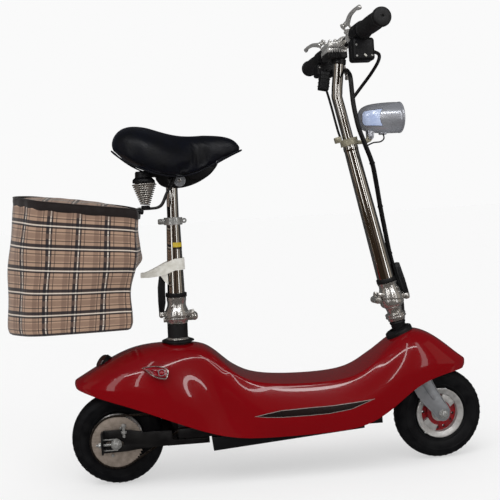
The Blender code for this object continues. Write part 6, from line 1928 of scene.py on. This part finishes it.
def saddle_cushion():
    """Foam-padded cover, swelled under its vinyl."""
    rows = [saddle_row(station) for station in SADDLE_STATIONS]
    rows = [end_row(rows[0], -0.002), *rows, end_row(rows[-1], 0.0015)]
    cover, _ = grid("saddle_cushion", 12, 7, lambda column, row: rows[column][row])
    mend(0.0001)
    modify(cover, "MIRROR", use_axis=(False, True, False), merge_threshold=0.0002)
    modify(cover, "SUBSURF", levels=2, render_levels=2)
    stuffed(cover, 0.0045, 4.0, 0.004)
    complete(cover, "saddle", "saddle_cover", "saddle_vinyl", smooth=60)
    side = [(x, 0.945 * half, low + 0.0015) for x, top, low, half in SADDLE_STATIONS]
    line = [(0.0318, 0.0, 0.714), *side[:-1], (0.301, 0.0, 0.703)]
    line += [(x, -y, z) for x, y, z in reversed(side)]
    piping = tube("saddle_piping", smooth_path(line, 6, closed=True), sizes().piping, 3, cyclic=True)
    complete(piping, "saddle", None, "saddle_vinyl", smooth=60)


SPRING_X, SPRING_Y, SPRING_TOP, SPRING_LOW = 0.0915, 0.042, 0.6452, 0.5985


def saddle_pan():
    """Pan under the cushion with its skirt round the clamp and the two spring cups."""
    outline = mm(84, 672, 92, 659, 118, 658, 136, 660, 186, 660, 192, 648, 214, 648, 232, 658, 246, 672)
    parts = [side_plate("pan", [outline], -0.026, 0.026, 0.0016)]
    skirt = mm(
        118, 660, 124, 642, 140, 633.5, 160, 631.5, 182, 633.5, 204, 640, 224, 650, 240, 662, 252, 680,
        230, 680, 150, 670
    )
    parts.append(side_plate("skirt", [smooth_outline(skirt, 4)], -0.0128, 0.0128, 0.002))
    parts.append(block("spring_bar", (0.03, 0.1, 0.01), (SPRING_X, 0.0, 0.665), 0.0, 0.002, 3))
    cup = mm(0, 669, 15, 669, 16.2, 667, 16.8, 657, 20.5, 654.5, 22.2, 652, 22.6, 647, 21.8, 645.5, 0, 645.5)
    for s in (-1, 1):
        parts.append(lathe("cup", cup, (SPRING_X, s * SPRING_Y, 0.0), steps=48))
        guide = [(SPRING_X, s * SPRING_Y, z) for z in (0.5995, 0.646)]
        parts.append(bar("guide", 0.0022, *guide, 20))
    complete(joined("saddle_pan", parts), "saddle", "saddle_base", "black_abs", smooth=40)


def coil(name, side, node):
    """Unbroken conical coil, wide at the top, with a straight end at each side."""
    turns, per_turn, wire = sizes().coil_turns, 28, sizes().spring_wire
    points = []
    for i in range(turns * per_turn + 1):
        part = i / (turns * per_turn)
        angle = 2 * math.pi * i / per_turn
        r = 0.0075 + 0.016 * part
        z = SPRING_LOW + wire + (SPRING_TOP - SPRING_LOW - 2 * wire) * part
        points.append(Vector((SPRING_X + r * math.cos(angle), side * SPRING_Y + r * math.sin(angle), z)))
    first = (points[0] - points[1]).normalized() * 2 * wire
    last = (points[-1] - points[-2]).normalized() * 2 * wire
    points = [points[0] + Vector((first.x, first.y, 0.0)), *points, points[-1] + Vector((last.x, last.y, 0.0))]
    complete(tube(name, points, wire, 2), "saddle", node, "chrome_wire", smooth=70)


def saddle_frame():
    """Bent wire from the clamp down to the springs and back."""
    half = mm(
        160, 23.5, 656, 154, 23.5, 645, 147, 25, 633, 138, 29, 620, 128, 34, 600, 118, 38, 592.5,
        104, 41.5, 591, 91.5, 42, 591, 83, 40, 591, 79, 32, 591, per=3
    )
    line = half + [(x, -y, z) for x, y, z in reversed(half)]
    parts = [tube("saddle_wire", smooth_path(line, 6), 0.0029, 5)]
    seat = mm(0, 590, 9.2, 590, 10, 590.8, 10, 593, 8.4, 594, 7, 598.2, 0, 598.2)
    for s in (-1, 1):
        parts.append(lathe("spring_seat", seat, (SPRING_X, s * SPRING_Y, 0.0), steps=40))
    complete(joined("saddle_frame", parts), "saddle", "saddle_rods", "black_enamel", smooth=50)


class SCOOTER_OT_saddle(bpy.types.Operator):
    """Saddle with its pan, springs and wire frame"""

    bl_idname = "scooter.saddle"
    bl_label = "Saddle"

    def execute(self, context):
        saddle_cushion()
        saddle_pan()
        coil("right_coil", -1, "right_spring")
        coil("left_coil", 1, "left_spring")
        saddle_frame()
        return {"FINISHED"}


# Bag

# Corners seen from above at the top edge: distance, side and height
BAG_TOP = mm(
    77, -64, 585, 56, -80, 590, -30, -86, 602, -118, -82, 615, -156, -56, 623, -184, -16, 628, -180, 30, 630,
    -150, 68, 628, -90, 86, 618, 30, 82, 598, 70, 56, 588, per=3
)
BAG_FLOOR = 0.34
BAG_COLUMNS = 132
BAG_ROWS = 46


def bag_ring(share):
    """Corners of the bag at a share of its height."""
    grow_x = 1.0 + 0.035 * math.sin(math.pi * share)
    grow_y = 1.0 + 0.055 * math.sin(math.pi * share)
    ring = []
    for x, y, z in BAG_TOP:
        shift = -0.033 * (1 - share)
        place_x = -0.055 + (x + 0.055) * grow_x + shift * (0.8 if x > 0 else 1.0)
        ring.append(Vector((place_x, y * grow_y, BAG_FLOOR + (z - BAG_FLOOR) * share)))
    return ring


def near(value, middle, spread):
    return math.exp(-(((value - middle) / spread) ** 2))


def fold(point, share, around):
    """Soft folds: drawn in under the lid, pulled out to the strap, slack over the floor."""
    out = Vector((point.x + 0.055, point.y * 1.7, 0.0)).normalized()
    front = max(0.0, out.x)
    height = point.z
    push = -0.005 * near(height, 0.535, 0.035) * front
    push += 0.008 * near(height, 0.482, 0.014) * near(point.y, 0.0, 0.024) * front
    push -= 0.024 * near(height, 0.416, 0.046) * front
    slack = math.sin(math.pi * min(1.0, share * 1.02))
    ripple = 0.0024 * math.sin(around * 31.0 + 5.0 * share)
    ripple += 0.0013 * math.sin(around * 53.0 - 9.0 * share + 1.0)
    push += slack * ripple * (0.5 + front)
    push += 0.0022 * math.sin(around * 19.0 + 11.0 * share) * slack
    push -= 0.005 * near(share, 0.0, 0.03)
    return point + out * push


def cloth_map(piece, place):
    """UV map of the check: place gives the spot on the flat cloth from a vertex."""
    piece.data.uv_layers[0].name = "cloth"
    for loop, spot in zip(piece.data.loops, piece.data.uv_layers["cloth"].data):
        spot.uv = place(loop.vertex_index)


def cloth_wall():
    """Wall and floor as one shaped grid; its cloth map is in metres along and up the wall."""
    floor_rows = 6
    rings = []
    for row in range(BAG_ROWS + 1):
        share = max(0.0, (row - floor_rows) / (BAG_ROWS - floor_rows))
        path = smooth_path(bag_ring(share), BAG_COLUMNS // len(BAG_TOP), closed=True)
        centre = Vector((-0.055 - 0.033 * (1 - share), 0.0, BAG_FLOOR + 0.001))
        ring = [fold(p, share, i / BAG_COLUMNS) for i, p in enumerate(path)]
        if row < floor_rows:
            ring = [centre.lerp(p, row / floor_rows) for p in ring]
        rings.append(ring)
    around = [0.0]
    top = rings[BAG_ROWS // 2]
    for a, b in zip(top, top[1:] + top[:1]):
        around.append(around[-1] + (b - a).length)
    wall, spots = grid("cloth_bag", BAG_COLUMNS, BAG_ROWS, lambda column, row: rings[row][column % BAG_COLUMNS])
    lift = 0.26 / (BAG_ROWS - floor_rows)
    cloth_map(wall, lambda index: (around[spots[index][0]], (spots[index][1] - floor_rows) * lift))
    mend(0.00005)
    modify(wall, "SUBSURF", levels=1, render_levels=1)
    return modify(wall, "SOLIDIFY", thickness=0.0012, offset=-1.0)


def bag_lid():
    """Slightly slack lid with the same cloth."""
    edge = smooth_path(bag_ring(1.0), BAG_COLUMNS // len(BAG_TOP), closed=True)

    def place(column, row):
        part = row / 8
        at = Vector((-0.055, 0.0, 0.6105)).lerp(edge[column % BAG_COLUMNS], part)
        lift = 0.0085 * (1 - part**3) + 0.001 * math.sin(at.x * 90) * math.sin(at.y * 70 + 1)
        return at + Vector((0.0, 0.0, lift if part < 1.0 else 0.0))

    lid, _ = grid("bag_lid", BAG_COLUMNS, 8, place)
    cloth_map(lid, lambda index: lid.data.vertices[index].co.xy)
    mend(0.00005)
    if lid.data.polygons[0].normal.z < 0:
        lid.data.flip_normals()
    return modify(lid, "SOLIDIFY", thickness=0.0012, offset=-1.0)


def bag_binding():
    """Zip band round the lid: a flat band with a piped edge, the puller and its ring."""
    path = smooth_path(bag_ring(1.0), 12, closed=True)

    def place(column, row):
        column %= len(path)
        out = Vector((path[column].x + 0.055, path[column].y * 1.7, 0.0)).normalized()
        swell = 0.0016 * math.sin(math.pi * row / 6) + 0.0004 * math.sin(column * 0.9)
        drop = 0.0185 * (row / 6) + 0.0006 * math.sin(column * 0.37)
        return path[column] + out * (0.0008 + swell) + Vector((0, 0, 0.003 - drop))

    band, _ = grid("bag_band", len(path), 6, place)
    mend(0.00005)
    modify(band, "SOLIDIFY", thickness=0.0014, offset=-1.0)
    cord = tube("bag_piping", [p + Vector((0, 0, 0.003)) for p in path], 0.0019, 3, cyclic=True)
    parts = [paint(band, "binding_tape"), paint(cord, "binding_tape")]
    loop_at = Vector((0.079, -0.056, 0.586))
    for i, (size, shift) in enumerate((((0.02, 0.012, 0.01), 0.0), ((0.012, 0.016, 0.007), 0.01))):
        tab = block("bag_tab", size, loop_at + Vector((-shift, 0.004 * i, 0.004 * i)), 0.25, 0.0028, 3)
        parts.append(paint(tab, "black_abs"))
    ring = [Vector((x, -0.048, z)) for x, z in arc(0.08, 0.588, 0.006, 0.0, 337.5, 16)]
    parts.append(paint(tube("bag_ring", ring, 0.0012, 3, cyclic=True), "zinc_plate"))
    return joined("bag_trim", parts)


def cloth_bag():
    wall, lid = cloth_wall(), bag_lid()
    bag = paint(joined("cloth_bag", [wall, lid]), "check_cloth")
    complete(bag, "saddle", "bag", smooth=60)
    complete(bag_binding(), "saddle", None, smooth=50)


def strap_place(share, across):
    """Point on the strap: share runs from the bag round the post and back."""
    cx = post_point(0.466).x
    r = 0.0204
    reach = [(0.0715, -0.011), (0.1, -0.017), (0.125, -0.0202)] + arc(cx, 0.0, r, -90, 90, 15)
    reach += [(0.125, 0.0202), (0.1, 0.017), (0.0715, 0.011)]
    line = smooth_path([(x, y, 0.0) for x, y in reach], 2)
    spot = share * (len(line) - 1)
    low = min(int(spot), len(line) - 2)
    place = line[low].lerp(line[low + 1], spot - low)
    along = min(1.0, max(0.0, (place.x - 0.079) / (cx - 0.079)))
    half = 0.005 + 0.0075 * min(1.0, along * 1.5)
    twist = 0.003 * math.sin(math.pi * along) * across
    return Vector((place.x, place.y + math.copysign(twist, place.y), 0.448 + 0.02 * along**1.3 + across * half))


def post_strap():
    strap, _ = grid("webbing_strap", 72, 4, lambda column, row: strap_place(column / 72, row / 2 - 1))
    modify(strap, "SOLIDIFY", thickness=0.0016, offset=0.0)
    tail = side_plate("strap_tail", [mm(108, 456, 130, 456, 130, 425, 122, 433)], -0.0196, -0.0182, 0.0003)
    strap = joined("webbing_strap", [strap, tail])
    complete(strap, "saddle", "bag_strap", "woven_webbing", smooth=50)


class SCOOTER_OT_bag(bpy.types.Operator):
    """Cloth bag behind the post and its strap"""

    bl_idname = "scooter.bag"
    bl_label = "Bag"

    def execute(self, context):
        cloth_bag()
        post_strap()
        return {"FINISHED"}


# Side stand


def side_stand():
    pivot, foot = Vector((0.085, 0.07, 0.084)), Vector((0.045, 0.122, 0.008))
    down = (foot - pivot).normalized()
    leg = tube("stand_leg", smooth_path([pivot, pivot + down * 0.02, pivot + down * 0.06, foot], 5), 0.0055, 7)
    eye = mm(3, -8, 7.8, -8, 8.5, -7.2, 8.5, 7.2, 7.8, 8, 3, 8)
    parts = [leg, lathe("stand_eye", eye, pivot, (0, 1, 0), 40)]
    steel = paint(joined("stand_leg", parts), "black_enamel")
    pad = mm(0, 0, 11.8, 0, 13, 1.2, 13, 7, 11, 10, 6, 11.2, 0, 11.2)
    pad = paint(lathe("stand_pad", pad, (foot.x, foot.y, 0.0), steps=40), "seal_rubber")
    bolt = hex_nut("stand_bolt", 0.011, pivot + Vector((0, 0.008, 0)), pivot + Vector((0, 0.0125, 0)))
    bolt = paint(bolt, "zinc_plate")
    complete(joined("side_stand", [steel, pad, bolt]), "stand", "kickstand")


class SCOOTER_OT_stand(bpy.types.Operator):
    """Side stand"""

    bl_idname = "scooter.stand"
    bl_label = "Side stand"

    def execute(self, context):
        side_stand()
        return {"FINISHED"}


# Studio


def reflected_card(name, size, at, towards, colour, strength):
    """Plain panel that only reflections see."""
    clear_selection()
    bpy.ops.mesh.primitive_plane_add(size=1.0, location=(0, 0, 0))
    card = named(name)
    for vert in card.data.vertices:
        vert.co = (vert.co.x * size[0], vert.co.y * size[1], 0.0)
    put(card, at, Vector(towards) - Vector(at))
    material = bpy.data.materials.new(name)
    material.use_nodes = True
    material.node_tree.nodes.clear()
    glow = add_node(material, "ShaderNodeEmission", {"Color": (*linear(colour), 1.0), "Strength": strength})
    add_node(material, "ShaderNodeOutputMaterial", {"Surface": glow.outputs[0]})
    paint(card, material)
    card.visible_camera = False
    card.visible_diffuse = False
    card.visible_transmission = False
    card.visible_shadow = False
    return card


def sun(name, direction, strength, spread):
    """Broad soft light from one side, kept out of reflections."""
    lamp = bpy.data.lights.new(name, "SUN")
    lamp.energy = strength
    lamp.angle = math.radians(spread)
    holder = link(name, lamp)
    holder.rotation_euler = Vector(direction).to_track_quat("-Z", "Y").to_euler()
    holder.visible_glossy = False
    return holder


def white_surround():
    """World that shows white and lights the object more gently than it shows."""
    world = bpy.data.worlds.new("white_surround")
    bpy.context.scene.world = world
    world.use_nodes = True
    world.node_tree.nodes.clear()
    rays = add_node(world, "ShaderNodeLightPath")
    seen = {0: rays.outputs["Is Camera Ray"], 1: rays.outputs["Is Transmission Ray"]}
    seen = add_node(world, "ShaderNodeMath", seen, operation="MAXIMUM")
    shown = add_node(world, "ShaderNodeMapRange", {"Value": seen.outputs[0], "To Min": 0.56, "To Max": 1.0})
    dimmed = {0: rays.outputs["Is Glossy Ray"], 1: -0.5, 2: shown.outputs[0]}
    dimmed = add_node(world, "ShaderNodeMath", dimmed, operation="MULTIPLY_ADD")
    back = {"Color": (*linear("FAFAFA"), 1.0), "Strength": dimmed.outputs[0]}
    back = add_node(world, "ShaderNodeBackground", back)
    add_node(world, "ShaderNodeOutputWorld", {"Surface": back.outputs[0]})


def pale_floor():
    clear_selection()
    bpy.ops.mesh.primitive_plane_add(size=60.0, location=(0, 0, 0))
    floor = named("studio_floor")
    # The floor glows a little, so that it stays as white as the surround and keeps a light shadow
    sockets = {"Roughness": 0.9, "Specular IOR Level": 0.0, "Base Color": (0.45, 0.45, 0.45, 1.0)}
    sockets.update({"Emission Color": (1.0, 1.0, 1.0, 1.0), "Emission Strength": 0.505})
    material, _ = new_finish("pale_studio_floor", sockets)
    floor.visible_glossy = False
    return paint(floor, material)


def photo_camera():
    """Camera of the photograph, a little above the body's height and in front of its right side."""
    data = bpy.data.cameras.new("studio_camera")
    data.lens = 64.27
    data.sensor_width = 36.0
    data.clip_start = 0.05
    data.clip_end = 200.0
    camera = link("studio_camera", data)
    turn = Matrix.Rotation(math.radians(-4.09), 4, "Z") @ Matrix.Rotation(math.radians(-3.04), 4, "X")
    turn = turn @ Matrix.Rotation(math.radians(3.45), 4, "Y") @ Matrix.Rotation(math.pi / 2, 4, "X")
    camera.matrix_world = Matrix.Translation((-0.1212, -1.9386, 0.5911)) @ turn
    bpy.context.scene.camera = camera
    return camera


class SCOOTER_OT_studio(bpy.types.Operator):
    """Floor, light and camera"""

    bl_idname = "scooter.studio"
    bl_label = "Studio"

    def execute(self, context):
        bpy.context.scene.view_settings.view_transform = "Standard"
        white_surround()
        pieces = [pale_floor(), photo_camera()]
        pieces.append(sun("key_light", (0.3, 0.45, -1.0), 1.35, 50.0))
        pieces.append(sun("front_light", (-0.25, 1.0, -0.35), 0.65, 60.0))
        middle = (0.0, 0.0, 0.45)
        cards = (
            ("room_card", (7.0, 3.0), (0.2, -4.2, 1.0), middle, "564B42", 1.0),
            ("dark_card", (0.7, 2.6), (-0.3, -3.6, 0.8), middle, "141110", 1.0),
            ("right_panel", (1.3, 3.4), (2.7, -0.9, 0.6), middle, "968E84", 1.0),
            ("left_panel", (1.0, 3.4), (-2.7, -0.5, 0.6), middle, "988C80", 1.0),
            ("floor_card", (7.0, 3.2), (0.0, -1.8, -0.05), (0.0, -1.8, 0.45), "33291F", 1.0),
            ("bright_strip", (0.45, 3.4), (-1.9, -2.3, 1.1), middle, "FFFFFF", 2.2),
            ("narrow_strip", (0.36, 3.4), (2.0, -2.1, 1.1), middle, "FFFFFF", 2.4),
            ("front_strip", (0.12, 2.85), (0.75, -2.4, 1.87), middle, "FFFFFF", 8.0),
            ("rear_strip", (0.12, 2.85), (-0.85, -2.4, 1.87), middle, "FFFFFF", 5.0),
            ("long_strip", (4.4, 0.14), (0.0, -2.2, 2.3), middle, "FFFFFF", 12.0),
        )
        pieces += [reflected_card(*card) for card in cards]
        return {"FINISHED"}


# Add-on


class SCOOTER_PT_panel(bpy.types.Panel):
    """Colours, sizes and the steps that build the scooter"""

    bl_idname = "SCOOTER_PT_panel"
    bl_label = "Folding scooter"
    bl_space_type = "VIEW_3D"
    bl_region_type = "UI"
    bl_category = "Scooter"

    def draw(self, context):
        for group in (context.scene.scooter_colours, context.scene.scooter_sizes):
            for name in type(group).__annotations__:
                self.layout.prop(group, name)
        for step in STEPS:
            self.layout.operator(step.bl_idname)


STEPS = (
    SCOOTER_OT_body,
    SCOOTER_OT_body_trim,
    SCOOTER_OT_chassis,
    SCOOTER_OT_drive,
    SCOOTER_OT_wheels,
    SCOOTER_OT_fork,
    SCOOTER_OT_column,
    SCOOTER_OT_headlight,
    SCOOTER_OT_handlebar,
    SCOOTER_OT_cables,
    SCOOTER_OT_saddle_post,
    SCOOTER_OT_saddle,
    SCOOTER_OT_bag,
    SCOOTER_OT_stand,
    SCOOTER_OT_studio,
)
CLASSES = (ScooterColours, ScooterSizes, *STEPS, SCOOTER_PT_panel)


def register():
    for kind in CLASSES:
        bpy.utils.register_class(kind)
    bpy.types.Scene.scooter_colours = PointerProperty(type=ScooterColours)
    bpy.types.Scene.scooter_sizes = PointerProperty(type=ScooterSizes)


def unregister():
    del bpy.types.Scene.scooter_sizes
    del bpy.types.Scene.scooter_colours
    for kind in reversed(CLASSES):
        bpy.utils.unregister_class(kind)


def main():
    register()
    for step in STEPS:
        getattr(bpy.ops.scooter, step.bl_idname.split(".")[1])()


if __name__ == "__main__":
    main()
